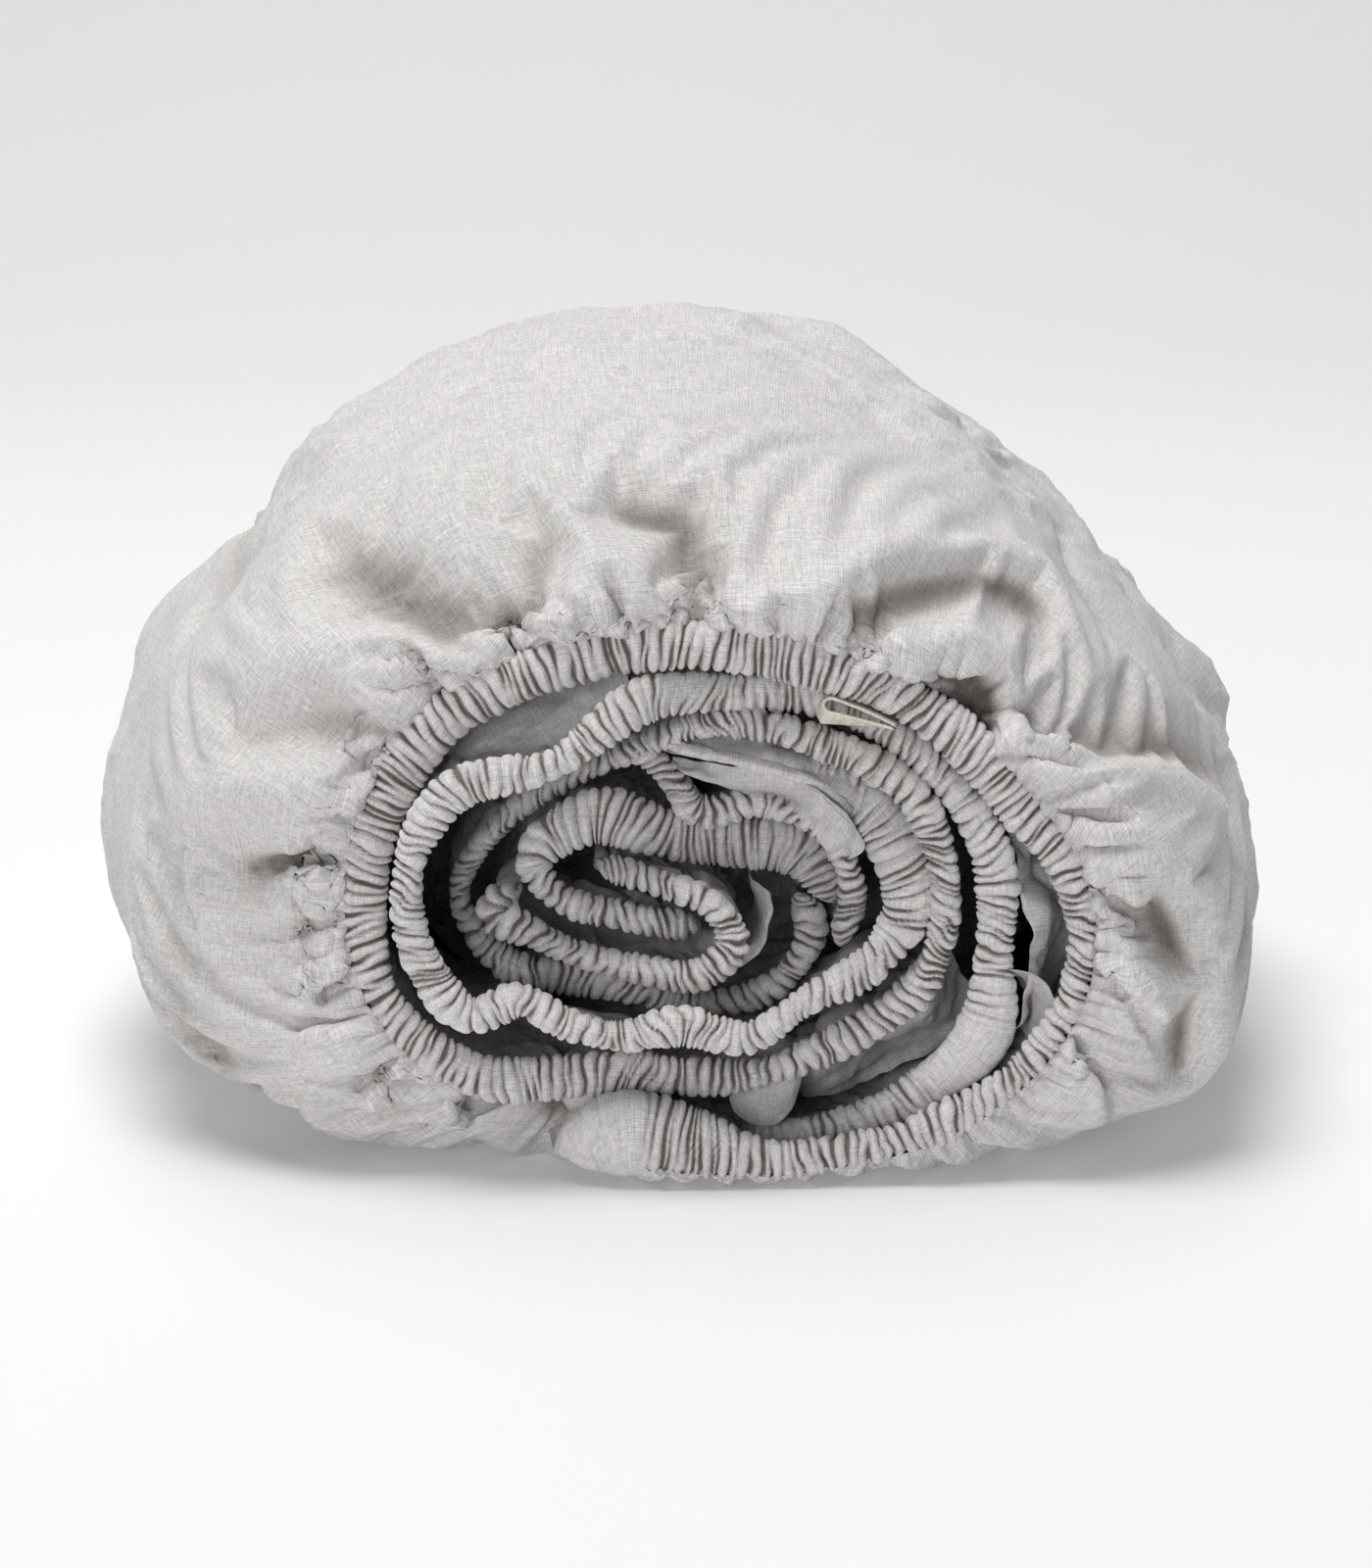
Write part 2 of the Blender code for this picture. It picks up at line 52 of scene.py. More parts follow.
VALLEY_SEEDS = 90  # and for its valleys

# Main sizes of the roll, as in its solid
ROLL_LENGTH = 340.0
FLARE_DEPTH = 78.0
FLARE_DEPTH_BELOW = 34.0
SAG_SPREAD = 1.6
BARREL_END = 292.0
BEHIND_RING = 2.0
HUB_SHARE = 0.30
HUB_STEP = 0.72  # the share of the far end's rows that lie outside its hub
INNER_DEPTH = 104.0  # the gaps between the turns end this deep
ROLL_OVER = (6.0, 5.0, 1.5)  # how far the cloth swells forward round the ring: on top, beside and below it
ROLL_OVER_LOW = 1.5
ROLL_OVER_REACH = 0.42  # share of the way out to the full roll
FLARE_CLOSER = 1.15  # the rows lie closer at the ring
FAR_CENTRE_HEIGHT = 0.45
FLAT_SINK = 4.0
MOUTH_CENTRE = (0.0, 70.0)
MOUTH_HALF = (92.0, 66.0)
MOUTH_STEP = 2.0
MOUTH_BLURS = 118  # its outline is blurred over one such part of its length each way
MOUTH_OUTSIDE = 0.7
MOUTH_INSIDE = -0.6
SECTION_CENTRE = (-8.0, 78.0)
SECTION_HALF = (150.0, 110.0)
OUTLINE_STEPS = 1440
FULLNESS_LEFT = 2.1
FULLNESS_RIGHT = 1.68
FULLNESS_BELOW = 2.7
FINE_STEPS = 40


def table(kind, *rows):
    """The rows of a table, with the columns of their kind."""
    return tuple(kind(*row) for row in rows)


Section = namedtuple("Section", "depth left right peak top widest_at")
SECTIONS = table(
    Section,
    (78, 151, 142, -16, 184, 58),
    (130, 160, 146, -14, 193, 57),
    (185, 160, 146, -12, 198, 56),
    (240, 154, 140, -9, 191, 56),
    (292, 141, 128, -5, 174, 56),
)

# The hem's turns on the front end: where each bends, how deep its front edge lies and how wide it looks
Bend = namedtuple("Bend", "x z depth width")
CORNER = table(Bend, (-41, 7, 4, 4), (-34, 10.5, 0, 14), (-25, 13, -3, 22))
RING = table(
    Bend,
    (-15, 13, -4, 23), (-5, 11, -4, 19), (5, 8.5, -3, 14), (15, 7, -2, 11), (27, 8, -1, 9.5),
    (52, 14, 0, 10), (76, 29, 2, 8.5), (89, 49, 4, 8.5), (91, 65, 6, 8.5),
    (87, 79, 7, 10), (76, 93, 9, 12), (55, 116, 10, 13), (26, 130, 10, 13.5),
    (-8, 135, 10, 13.5), (-36, 131, 10, 13), (-68, 116, 9, 13.5), (-83, 95, 9, 14),
    (-88, 72, 9, 12.5), (-84, 47, 7, 10.5), (-61, 27, 6, 12), (-26, 26, 10, 12.5),
)
SECOND = table(
    Bend,
    (14, 26, 12, 8.5), (29, 33, 11, 10), (53, 52, 10, 9),
    (57, 70, 10, 7.5), (48, 97, 14, 9), (27, 108, 20, 10), (2, 112, 28, 7.5),
    (-25, 102, 34, 6.5), (-51, 88, 34, 6), (-65, 66, 32, 6.5), (-54, 50, 28, 7.5),
    (-29, 46, 26, 9.5), (-5, 39, 28, 6), (17, 45, 30, 7), (24, 59, 34, 8.5),
    (20, 66, 36, 8),
)
FRONT = table(
    Bend,
    (5, 7, 22, 6), (23, 8, 18, 8), (52, 22, 10, 12), (66, 36, 7, 15),
    (69, 58, 8, 10.5), (68, 83, 10, 11), (55, 102, 15, 9), (27, 118, 26, 10),
    (2, 120, 26, 11), (-17, 122, 8, 12.5), (-41, 107, -1, 9), (-65, 101, -4, 12),
    (-76, 82, -4, 8), (-73, 59, -6, 9.5), (-60, 45, -7, 9), (-49, 49, -7, 9),
    (-37, 43, -8, 9), (-23, 40, -8, 8), (-10, 43, -8, 10.5), (8, 39, -6, 7.5),
    (21, 47, -3, 7), (40, 57, 5, 10), (48, 70, 14, 15), (44, 83, 20, 16),
    (34, 94, 26, 12), (20, 101, 30, 9),
)
ROPE = table(
    Bend,
    (-25, 106, 36, 6), (-12, 98, 30, 7), (-6, 90, 27, 7.5), (12, 92, 24, 7),
    (26, 86, 22, 7), (34, 72, 20, 7.5), (31, 55, 24, 6.5),
)
HAIRPIN = table(
    Bend,
    (30, 64, 35, 8), (23, 75, 37, 13), (2, 80, 37, 15), (-10, 81, 35, 15),
    (-32, 88, 25, 15), (-46, 78, 20, 10), (-42, 71, 20, 8), (-20, 63, 21, 8.5),
    (-4, 60, 23, 7),
)
CORE = table(
    Bend,
    (-31, 75, 30, 7), (-14, 73, 16, 7.5), (-1, 69, 8, 8), (4, 61, 5, 9),
    (-4, 52, 7, 8), (-18, 52, 11, 7), (-43, 59, 15, 7), (-55, 67, 18, 10),
    (-49, 71, 24, 7),
)

# The welt of a boxed corner's seam, which shows between two turns
WELT = table(
    Bend,
    (-14, 106, 33, 2), (2, 103.3, 28, 2.6), (14, 101, 26, 2.8), (25, 97.5, 25, 2.8),
    (32, 92, 25, 2.6), (35, 86, 28, 2),
)

# Each gathered length of hem: its bends, how far the cloth behind it leans to the left of its run for each
# millimetre back, how deep that cloth goes, how strong and wide its pleats are, the stretch of its run where
# the cloth lies nearly smooth, and a number that makes its gathers its own
Turn = namedtuple("Turn", "bends lean root pleat pitch calm seed")
TURNS = {
    "outer_hem": Turn(CORNER + RING + SECOND, -0.04, 100, 1.0, 1.0, (-20, 20), 1),
    "front_hem": Turn(FRONT, -0.12, 100, 0.8, 1.0, (57, 72), 2),
    "rope_hem": Turn(ROPE, -0.05, 96, 1.1, 1.0, (-9, -9), 3),
    "hairpin_hem": Turn(HAIRPIN, -0.08, 98, 0.95, 0.95, (-9, -9), 4),
    "core_hem": Turn(CORE, 0.0, 92, 1.0, 1.0, (-9, -9), 5),
    "seam_welt": Turn(WELT, -0.2, 60, 0.12, 1.6, (-9, -9), 6),
}

# Folds of the outer cloth: how wide, how high and how sharp each is, and its places. A place is a turn, in
# degrees round the roll with 0 at the right and 90 on top, and a distance back along the cloth from the ring.
# A negative height is a trough. Power 2 is a soft fold and 1 a crease.
Fold = namedtuple("Fold", "width height power places")
FOLDS = table(
    Fold,
    # Upper left
    (22, -7, 1.7, ((130, 59), (127, 37), (124, 19))),
    (16, 5.5, 1.5, ((148, 46), (136, 28), (131, 21))),
    (6, -7, 1, ((132, 21), (133, 14), (133, 1))),
    (6, -7, 1, ((117, 18), (118, 7), (118, 3))),
    (16, 3, 2, ((123, 14), (124, 8), (129, 4))),
    # Left
    (14, -4.5, 1.6, ((157, 40), (150, 26), (146, 14))),
    (16, 5, 1.5, ((173, 57), (161, 27), (161, 7))),
    (8, -7, 1, ((178, 31), (175, 17), (169, 8))),
    (26, -3, 2, ((-178, 60), (175, 90), (170, 130))),
    # Top
    (13, -7, 1.7, ((97, 42), (92, 37), (92, 18), (91, 6))),
    (12, -4.5, 1.6, ((110, 33), (112, 22), (114, 13))),
    (14, 3, 2, ((108, 15), (104, 23), (99, 22))),
    (10, 2.4, 2, ((120, 83), (112, 105), (102, 150))),
    (16, 5, 2, ((130, 150), (126, 131))),
    # The arch at the upper right and the smaller one under it
    (11, 9, 1.7, ((87, 5), (80, 10), (70, 25), (63, 38), (54, 55), (46, 67), (41, 56))),
    (9, 5, 1.6, ((76, 4), (74, 12), (70, 24))),
    (14, -9, 1.8, ((70, 11), (64, 24), (56, 41), (49, 52), (43, 55))),
    (10, 7, 1.6, ((64, 3), (62, 7), (55, 18), (49, 21), (42, 21))),
    (10, -5.5, 1.5, ((57, 6), (47, 8), (38, 16))),
    # Right
    (12, -4.5, 1.2, ((42, 138), (38, 111), (30, 88))),
    (18, -8, 1.6, ((47, 4), (38, 7), (29, 18), (21, 39), (4, 117))),
    (13, 8, 1.5, ((34, 7), (28, 16), (19, 33), (6, 62))),
    (8, 4.5, 1.3, ((32, 7), (29, 11), (21, 17), (9, 20))),
    (9, 5, 1.3, ((27, 7), (16, 14), (9, 19), (2, 28))),
    (15, 8, 1.6, ((13, 10), (7, 15), (0, 24), (-9, 36), (-13, 39))),
    # Lower right
    (20, 8, 2, ((-16, 35), (-22, 42), (-26, 44), (-32, 42))),
    (12, -12, 1.4, ((-2, 19), (-10, 26), (-15, 32), (-22, 32), (-28, 36))),
    (9, 4.5, 1.3, ((-15, 4), (-23, 15), (-28, 26))),
    (9, 4.5, 1.3, ((-2, 2), (-10, 8), (-18, 16))),
    (18, 3, 2, ((-38, 2), (-40, 17))),
    # Lower left and below
    (12, -5, 1.6, ((-177, 13), (-162, 8))),
    (13, 5, 1.5, ((-174, 2), (-161, 5), (-150, 14))),
    (10, 3, 1.5, ((-155, 25), (-148, 22), (-140, 19))),
    (8, -6, 1, ((-144, 12), (-138, 15))),
    (9, -3, 1.5, ((-135, 4), (-131, 6))),
    (10, -9, 1.3, ((-126, 0), (-119, 6), (-113, 13))),
    # Long soft folds that run back over the roll
    (84, 5, 2, ((172, 120), (182, 190))),
    (30, 4, 2, ((60, 130), (72, 190), (78, 260))),
    (30, -5, 1.5, ((24, 150), (34, 210), (42, 290))),
    (34, -6, 1.5, ((148, 130), (142, 200), (150, 290))),
    (30, 5, 2, ((164, 200), (172, 270), (168, 320))),
    (30, 5, 2, ((8, 190), (-2, 250), (4, 310))),
)

# How much stronger the folds are near the front, and between which distances back that fades
FOLD_STRENGTH = 1.9
FOLD_STRENGTH_FADE = (60, 110)
GATHER_STRENGTH = 0.45
CRUMPLE_STRENGTH = 1.1
GATHERS_ABOVE_FLOOR = (2, 25)  # the gathers grow between these heights
FLAT_AT_RING = 9.0  # ridges grow over this distance back from the ring
FLAT_AT_HUB = 30.0  # and all folds run out over this one to the middle of the far end
CLOTH_GIRTH = 760.0  # of the weave, round the roll
# The folds' height is painted into the colour: painted shade in their troughs, painted highlight on their
# ridges
CLOTH_PAINTED_LIGHT = 0.06  # how much a millimetre of height shows in the colour
NOISE_RADIUS = 130.0  # of the drum on which the crumples' noise is read
NOISE_BACK = 0.8
NOISE_STRIDE = 7.31  # how far apart the seeds lie
NOISE_GAIN = 1.6

# Crisp tucks that run out from the ring's stitching: how deep each is, and to which side the cloth beside it
# bulges over it
Tuck = namedtuple("Tuck", "depth side places")
TUCKS = table(
    Tuck,
    (4.5, 1, ((133, 0), (132, 10), (132, 24))), (4.5, -1, ((118, 0), (118, 5), (118, 19))),
    (2.5, 1, ((109, 4), (109, 11), (111, 21))), (3.0, 1, ((103, 2), (104, 6), (104, 18))),
    (2.5, -1, ((96, 3), (95, 7), (97, 17))), (3.0, 1, ((88, 3), (88, 8), (90, 18))),
    (3.5, 1, ((82, 3), (82, 8), (79, 15))), (2.5, -1, ((74, 2), (73, 9), (70, 19))),
    (3.5, -1, ((66, 2), (64, 7), (61, 19))), (3.0, 1, ((55, 3), (51, 9), (46, 18))),
    (3.0, -1, ((43, 3), (41, 8), (34, 15))), (3.5, 1, ((34, 5), (30, 13), (20, 27))),
    (3.0, -1, ((20, 3), (15, 10), (10, 22))), (3.5, 1, ((6, 2), (1, 9), (-8, 21))),
    (3.5, 1, ((-12, 1), (-18, 13), (-26, 28))), (3.5, -1, ((-28, 2), (-33, 13), (-40, 33))),
    (3.0, 1, ((146, 1), (152, 4), (159, 9))), (2.5, -1, ((160, 1), (161, 8), (164, 20))),
    (4.5, 1, ((172, 2), (175, 13), (180, 32))), (2.5, 1, ((-176, 2), (-173, 9), (-170, 19))),
    (3.0, -1, ((-166, 2), (-163, 9), (-158, 18))), (3.5, 1, ((-155, 3), (-155, 13), (-155, 27))),
    (3.0, 1, ((-145, 4), (-142, 17), (-139, 27))), (4.0, -1, ((-136, 0), (-131, 9), (-124, 19))),
    (4.0, 1, ((-118, 1), (-117, 5), (-107, 30))),
)
# Across a tuck: how far from its line each part lies, its share of the tuck's depth, and its width
TuckPart = namedtuple("TuckPart", "off share width")
TUCK_PARTS = table(
    TuckPart,
    (-0.9, -0.95, 1.3),
    (1.7, 0.75, 1.9),
    (5.5, 0.45, 4.0),
    (-5.0, 0.2, 3.5),
)
TUCK_EDGE = TUCK_PARTS[1]
TUCK_STRENGTH = 1.0
TUCK_REACH = 12.0
TUCKS_GROW = (-1, 3)  # between these distances back from the ring
TUCK_HANGS_OVER = 0.35  # of its depth, how far the edge of the cloth leans over the trough
TUCK_RUNS_OUT = 0.6  # the share of its length from which a tuck grows shallow
TUCK_WIDENS = (0.8, 1.1)  # how wide it is at the ring, and how much wider at its far end

# Small gathers of the outer cloth that run out from the ring: spacing and height at the ring, how far they
# reach, how far each wanders sideways, and how much it leans over, where 1 is upright
Gather = namedtuple("Gather", "pitch height reach wander lean seed")
GATHERS = table(
    Gather,
    (3.6, 1.5, 7, 1.5, 1.3, 11),
    (8.0, 3.6, 14, 4, 2.2, 12),
    (17.0, 4.5, 30, 8, 2.6, 13),
)

GATHER_PITCHES = (0.6, 1.4)  # the least and greatest share of the spacing
GATHER_BENDS = 22.0
GATHER_SHAPE = 0.8
GATHER_PATCH = 38.0
GATHER_SHARE = 0.65
GATHER_VARIES = 0.5
GATHER_FADE = 1.6
WANDER_MOST = 1.5  # how far the sideways wander of gathers and pleats may grow

# How the cloth round the ring buckles: how much wider it is cut than its place, all over and at the ring, and
# how far back the second reaches
CUT_ALL_OVER = 0.035
CUT_AT_RING = 0.42
CUT_REACH = 22.0
CUT_LONGER = 0.02  # and how much longer
LEAST_RISE = 0.1  # of each step along the cloth
CUT_FADE = (0.5, 0.9)  # between these shares of the way back the extra width runs out
# Then the scale of the simulation, every how many points it takes, by which frame the cloth is drawn in and
# when it ends, and how firmly the layers below hold the cloth, patch by patch
SETTLE_SCALE = 0.01
SETTLE_THIN = 2
SETTLE_FRAMES = (10, 24)
HOLD = 0.32
HOLD_VARIES = 0.4
HOLD_PATCH = 34.0
HOLD_SEED = 71
CLOTH_SETTINGS = {
    "vertex_group_mass": "held", "quality": 5, "mass": 0.3, "tension_stiffness": 15.0,
    "compression_stiffness": 15.0, "shear_stiffness": 5.0, "bending_stiffness": 5.0,
}

# A layer of smooth noise
Wave = namedtuple("Wave", "height size seed")

# Crumples of the washed linen: size of one, height, and how sharp its creases are
Crumple = namedtuple("Crumple", "size height crease seed")
CRUMPLES = table(
    Crumple,
    (60, 2.4, 0.0, 21),
    (36, 3.0, 0.7, 22),
    (20, 2.1, 0.85, 23),
    (11, 1.1, 0.85, 24),
    (5.5, 0.4, 0.5, 25),
)

# What bends the crumples, how strong they are on average and patch by patch, the shape of their creases,
# and how they grow from the ring back
CRUMPLE_WARP = Wave(9, 40, 31)
CRUMPLE_SHARE = 0.62
CRUMPLE_PATCHES = table(Wave, (0.55, 75, 37))
CRUMPLE_LIMITS = (0.2, 1.2)
CREASE_TOP = 0.35
CREASE_SLOPE = 1.4
CRUMPLES_GROW = 18.0
CRUMPLES_AT_RING = 0.25

# Rolled layers that show at the far end
SPIRAL_LAYERS = 3.0
SPIRAL_DEPTH = 7.0
SPIRAL_POWER = 0.7
SPIRAL_FADE = (0.94, 0.80)

FLOOR_GAP = 0.15  # the least height of any cloth over the surface that the roll lies on

# Steps of the meshes
COLUMNS = 560
FLARE_ROWS = 120
FRONT_END_ROWS = 30
BARREL_STEP = 2.2
FAR_ROWS = 64
CASING_STEP = 0.34
CASING_SIDES = 26
SKIRT_STEP = 1.0
SKIRT_ROWS = 32

# The casing round the elastic, and its pleats
CASING_ROUND = 4.6  # the radius that the casing would have as a round tube
CASING_LEAST_DEPTH = 0.33  # of its width
PLEAT_PITCH = (1.4, 3.7)
PLEAT_HEIGHT = 0.85  # of the round of each pleat
VALLEY_DEPTH = 2.1
VALLEY_DEPTH_BESIDE = 1.25  # at the edges of the casing
VALLEY_WIDTH = 0.54
VALLEY_DEPTHS = (0.55, 1.15)  # the least and greatest share of the depth
VALLEY_WIDTHS = (0.7, 1.3)  # and of the width
VALLEY_LEAST = 0.08
VALLEY_POWER = 1.25
VALLEY_FADES = 0.75  # how much a valley may weaken towards one edge of the casing
PLEAT_HEIGHTS = (0.5, 1.0)
PLEAT_SHAPE = 0.5
PLEAT_LEAN = table(Wave, (2, 16, 2))
PLEAT_WAVER = table(Wave, (0.8, 5, 3))
SPARE_PLEATS = 20.0  # the pleats start this far before the casing
CASING_TAPER = 5.0
CASING_TIP = 0.02
CASING_SWELL = table(Wave, (0.6, 12, 5))
SWELL_STRETCH = (1, 0.3, 0.3)
CASING_GRAIN = table(Wave, (0.25, 3, 6))
CASING_RAISED = 0.3
CASING_SQUEEZED = 0.1  # at its edges
CASING_SQUEEZE_POWER = 6
# Painted light of the casing: an even lift towards the ramp's ridge colour, with painted shade in the pleats'
# valleys
CASING_PAINTED_LIGHT = 0.4
VALLEY_PAINTED_SHADE = 2.0
SEED_STRIDE = 300.0  # how far apart the turns are read from the noise
NOISE_ROUND = 4.0
CALM_PLEATS = 0.12
CALM_BLEND = 11.0
FULL_PLEATS_WIDTH = 8.0  # a narrower casing has shallower pleats


def smooth_between(keys, values, at):
    """Values of a smooth curve through the keys, with tangents from their neighbours."""
    keys = np.asarray(keys, float)
    values = np.asarray(values, float)
    slopes = np.gradient(values, keys, axis=0)
    at = np.clip(at, keys[0], keys[-1])
    left = np.clip(np.searchsorted(keys, at, side="right") - 1, 0, len(keys) - 2)
    gap = keys[left + 1] - keys[left]
    t = (at - keys[left]) / gap
    shape = (-1,) + (1,) * (values.ndim - 1)
    t, gap = t.reshape(shape), gap.reshape(shape)
    return (
        values[left] * (2 * t**3 - 3 * t**2 + 1)
        + slopes[left] * gap * (t**3 - 2 * t**2 + t)
        + values[left + 1] * (3 * t**2 - 2 * t**3)
        + slopes[left + 1] * gap * (t**3 - t**2)
    )


def running_sum(steps):
    """The sum of the steps so far, from zero before the first."""
    return np.concatenate([np.zeros((1, *steps.shape[1:])), np.cumsum(steps, axis=0)])


def length_so_far(line):
    """How far each point lies along a line of points, or along a sheet of rows from its first row."""
    return running_sum(np.linalg.norm(np.diff(line, axis=0), axis=-1))


def even_path(bends, step):
    """The bends joined by a smooth curve, as rows of x, z, depth and width at an even step."""
    bends = np.asarray(bends, float)
    knots = length_so_far(bends[:, :2])
    fine = smooth_between(knots, bends, np.linspace(0, knots[-1], FINE_STEPS * len(bends)))
    length = length_so_far(fine[:, :2])
    steps = max(2, round(length[-1] / step))
    at = np.linspace(0, length[-1], steps + 1)
    return np.stack([np.interp(at, length, column) for column in fine.T], axis=1), at


def side_of(path):
    """The direction across a path in the plane of the front end, to the left of its run."""
    run = np.gradient(path[:, :2], axis=0)
    run /= np.linalg.norm(run, axis=1)[:, None]
    return np.stack([-run[:, 1], run[:, 0]], axis=1)


def signed_power(values, power):
    return np.sign(values) * np.abs(values) ** power


def around_oval(points, values, angle, centre, half):
    """Values at the points of a closed line, read at these angles round an oval."""
    across = (points - centre) / half
    turn = np.arctan2(across[:, 1], across[:, 0])
    order = np.argsort(turn)
    return np.interp(angle, turn[order], values[order], period=2 * math.pi)


def oval_share(points, angle, centre, half):
    """A closed line of points as shares of an oval's half sizes, at these angles round it."""
    share = np.linalg.norm((points - centre) / half, axis=1)
    return around_oval(points, share, angle, centre, half)


def oval_points(share, angle, centre, half):
    """The points at these shares of an oval's half sizes."""
    return np.stack([np.cos(angle), np.sin(angle)], axis=1) * half * share[:, None] + centre


def section_outline(depth, angle):
    """The roll's outline at a depth, without folds: a slumped oval with a flat spot below."""
    sizes = np.array(SECTIONS, float)
    left, right, peak, top, widest_at = smooth_between(sizes[:, 0], sizes[:, 1:], np.array([depth]))[0]
    fine = np.linspace(-math.pi, math.pi, OUTLINE_STEPS, endpoint=False)
    cos, sin = np.cos(fine), np.sin(fine)
    fullness = np.where(cos > 0, FULLNESS_RIGHT, FULLNESS_LEFT)
    fullness = np.where(sin < 0, FULLNESS_BELOW, fullness)
    half = np.where(cos > 0, right - peak, left + peak)
    rise = np.where(sin > 0, top - widest_at, widest_at + FLAT_SINK)
    x = peak + half * signed_power(cos, 2 / fullness)
    z = np.maximum(widest_at + rise * signed_power(sin, 2 / fullness), 0)
    share = oval_share(np.stack([x, z], axis=1), angle, SECTION_CENTRE, SECTION_HALF)
    outline = oval_points(share, angle, SECTION_CENTRE, SECTION_HALF)
    return np.stack([outline[:, 0], np.maximum(outline[:, 1], 0)], axis=1)


def mouth_outline(angle, beside):
    """The line beside the ring's first turn, this share of its half width further out."""
    path, _ = even_path(RING, MOUTH_STEP)
    edge = path[:, :2] - side_of(path) * (path[:, 3:4] / 2 * beside)
    share = oval_share(edge, angle, MOUTH_CENTRE, MOUTH_HALF)
    depth = around_oval(edge, path[:, 2], angle, MOUTH_CENTRE, MOUTH_HALF)
    half = max(1, round(len(angle) / MOUTH_BLURS))
    window = np.hanning(2 * half + 3)[1:-1]
    window /= window.sum()
    wrapped = [np.pad(values, half, mode="wrap") for values in (share, depth)]
    share, depth = (np.convolve(values, window, mode="valid") for values in wrapped)
    return oval_points(share, angle, MOUTH_CENTRE, MOUTH_HALF), depth


def spread(*parts):
    """The parts, stretched to one shape and put side by side as the last axis."""
    return np.stack(np.broadcast_arrays(*parts), axis=-1)


def with_depth(outline, depth):
    """Points x, y, z from an outline in x and z and its depth."""
    return spread(outline[:, 0], depth, outline[:, 1])


def far_end_rows(angle):
    """Rows of points that close the far end, with the edges of the rolled layers in it."""
    last = section_outline(BARREL_END, angle)
    centre = np.array([SECTIONS[-1].peak, SECTIONS[-1].top * FAR_CENTRE_HEIGHT])
    rows = []
    for step in np.linspace(0, 1, FAR_ROWS + 1)[1:]:
        swing = min(1, step / HUB_STEP)
        off_hub = math.cos(math.pi / 2 * swing)
        share = HUB_SHARE + (1 - HUB_SHARE) * off_hub
        if step > HUB_STEP:
            share = HUB_SHARE * (1 - step) / (1 - HUB_STEP)
        bulge = math.sqrt(1 - off_hub**2) if swing < 1 else 1.0
        layer = SPIRAL_LAYERS * share + angle / (2 * math.pi)
        fade = np.clip((SPIRAL_FADE[0] - share) / (SPIRAL_FADE[0] - SPIRAL_FADE[1]), 0, 1)
        groove = SPIRAL_DEPTH * fade * (1 - np.abs(np.sin(math.pi * layer)) ** SPIRAL_POWER)
        if step == 1:
            groove = np.full(len(angle), groove.mean())
        depth = BARREL_END + (ROLL_LENGTH - BARREL_END) * bulge - groove
        rows.append(with_depth(centre + (last - centre) * share, depth))
    return rows


def outer_rows(angle):
    """Rows of points from the ring over the outer cloth to the middle of the far end."""
    mouth, mouth_depth = mouth_outline(angle, MOUTH_OUTSIDE)
    full = section_outline(FLARE_DEPTH, angle)
    upward = np.sin(angle)
    below = np.clip(-SAG_SPREAD * upward, 0, 1)
    reach = FLARE_DEPTH + (FLARE_DEPTH_BELOW - FLARE_DEPTH) * below
    top, beside, low = ROLL_OVER
    roll_over = beside + (top - beside) * np.clip(upward, 0, 1)
    roll_over += (low - beside) * np.clip(-ROLL_OVER_LOW * upward, 0, 1)
    rows = []
    for share in np.linspace(0, 1, FLARE_ROWS):
        bend = math.pi / 2 * share**FLARE_CLOSER
        outline = mouth + (full - mouth) * math.sin(bend)
        depth = mouth_depth + BEHIND_RING + (reach - mouth_depth - BEHIND_RING) * (1 - math.cos(bend))
        swell = math.sin(math.pi * min(1, math.sin(bend) / ROLL_OVER_REACH)) ** 2
        rows.append(with_depth(outline, depth - roll_over * swell))
    for row in range(1, FRONT_END_ROWS):
        share = row / FRONT_END_ROWS
        depth = reach + (FLARE_DEPTH + FRONT_END_ROWS - reach) * share
        rows.append(with_depth(section_outline(FLARE_DEPTH + FRONT_END_ROWS * share, angle), depth))
    front_depth = FLARE_DEPTH + FRONT_END_ROWS
    barrel = np.linspace(front_depth, BARREL_END, round((BARREL_END - front_depth) / BARREL_STEP))
    for depth in barrel:
        rows.append(with_depth(section_outline(depth, angle), depth))
    rows.extend(far_end_rows(angle))
    counts = (FLARE_ROWS + FRONT_END_ROWS - 1, len(barrel), FAR_ROWS)
    return np.array(rows), counts


def normals_of(rows, wrapped=True):
    """The direction away from the cloth at each point of its rows."""
    along = np.gradient(rows, axis=0)
    if wrapped:
        around = (np.roll(rows, -1, axis=1) - np.roll(rows, 1, axis=1)) / 2
    else:
        around = np.gradient(rows, axis=1)
    normal = np.cross(along, around)
    return normal / np.maximum(np.linalg.norm(normal, axis=2), 1e-9)[..., None]


def soft_noise(points, size, seed):
    """Smooth noise, about -1 to 1, with features of this size, at each of the points."""
    flat = (points.reshape(-1, 3) / size + seed * NOISE_STRIDE).tolist()
    values = np.fromiter((noise.noise(point) for point in flat), float, len(flat))
    return NOISE_GAIN * values.reshape(points.shape[:-1])


def waves(points, layers):
    """Several layers of smooth noise together."""
    return sum(wave.height * soft_noise(points, wave.size, wave.seed) for wave in layers)


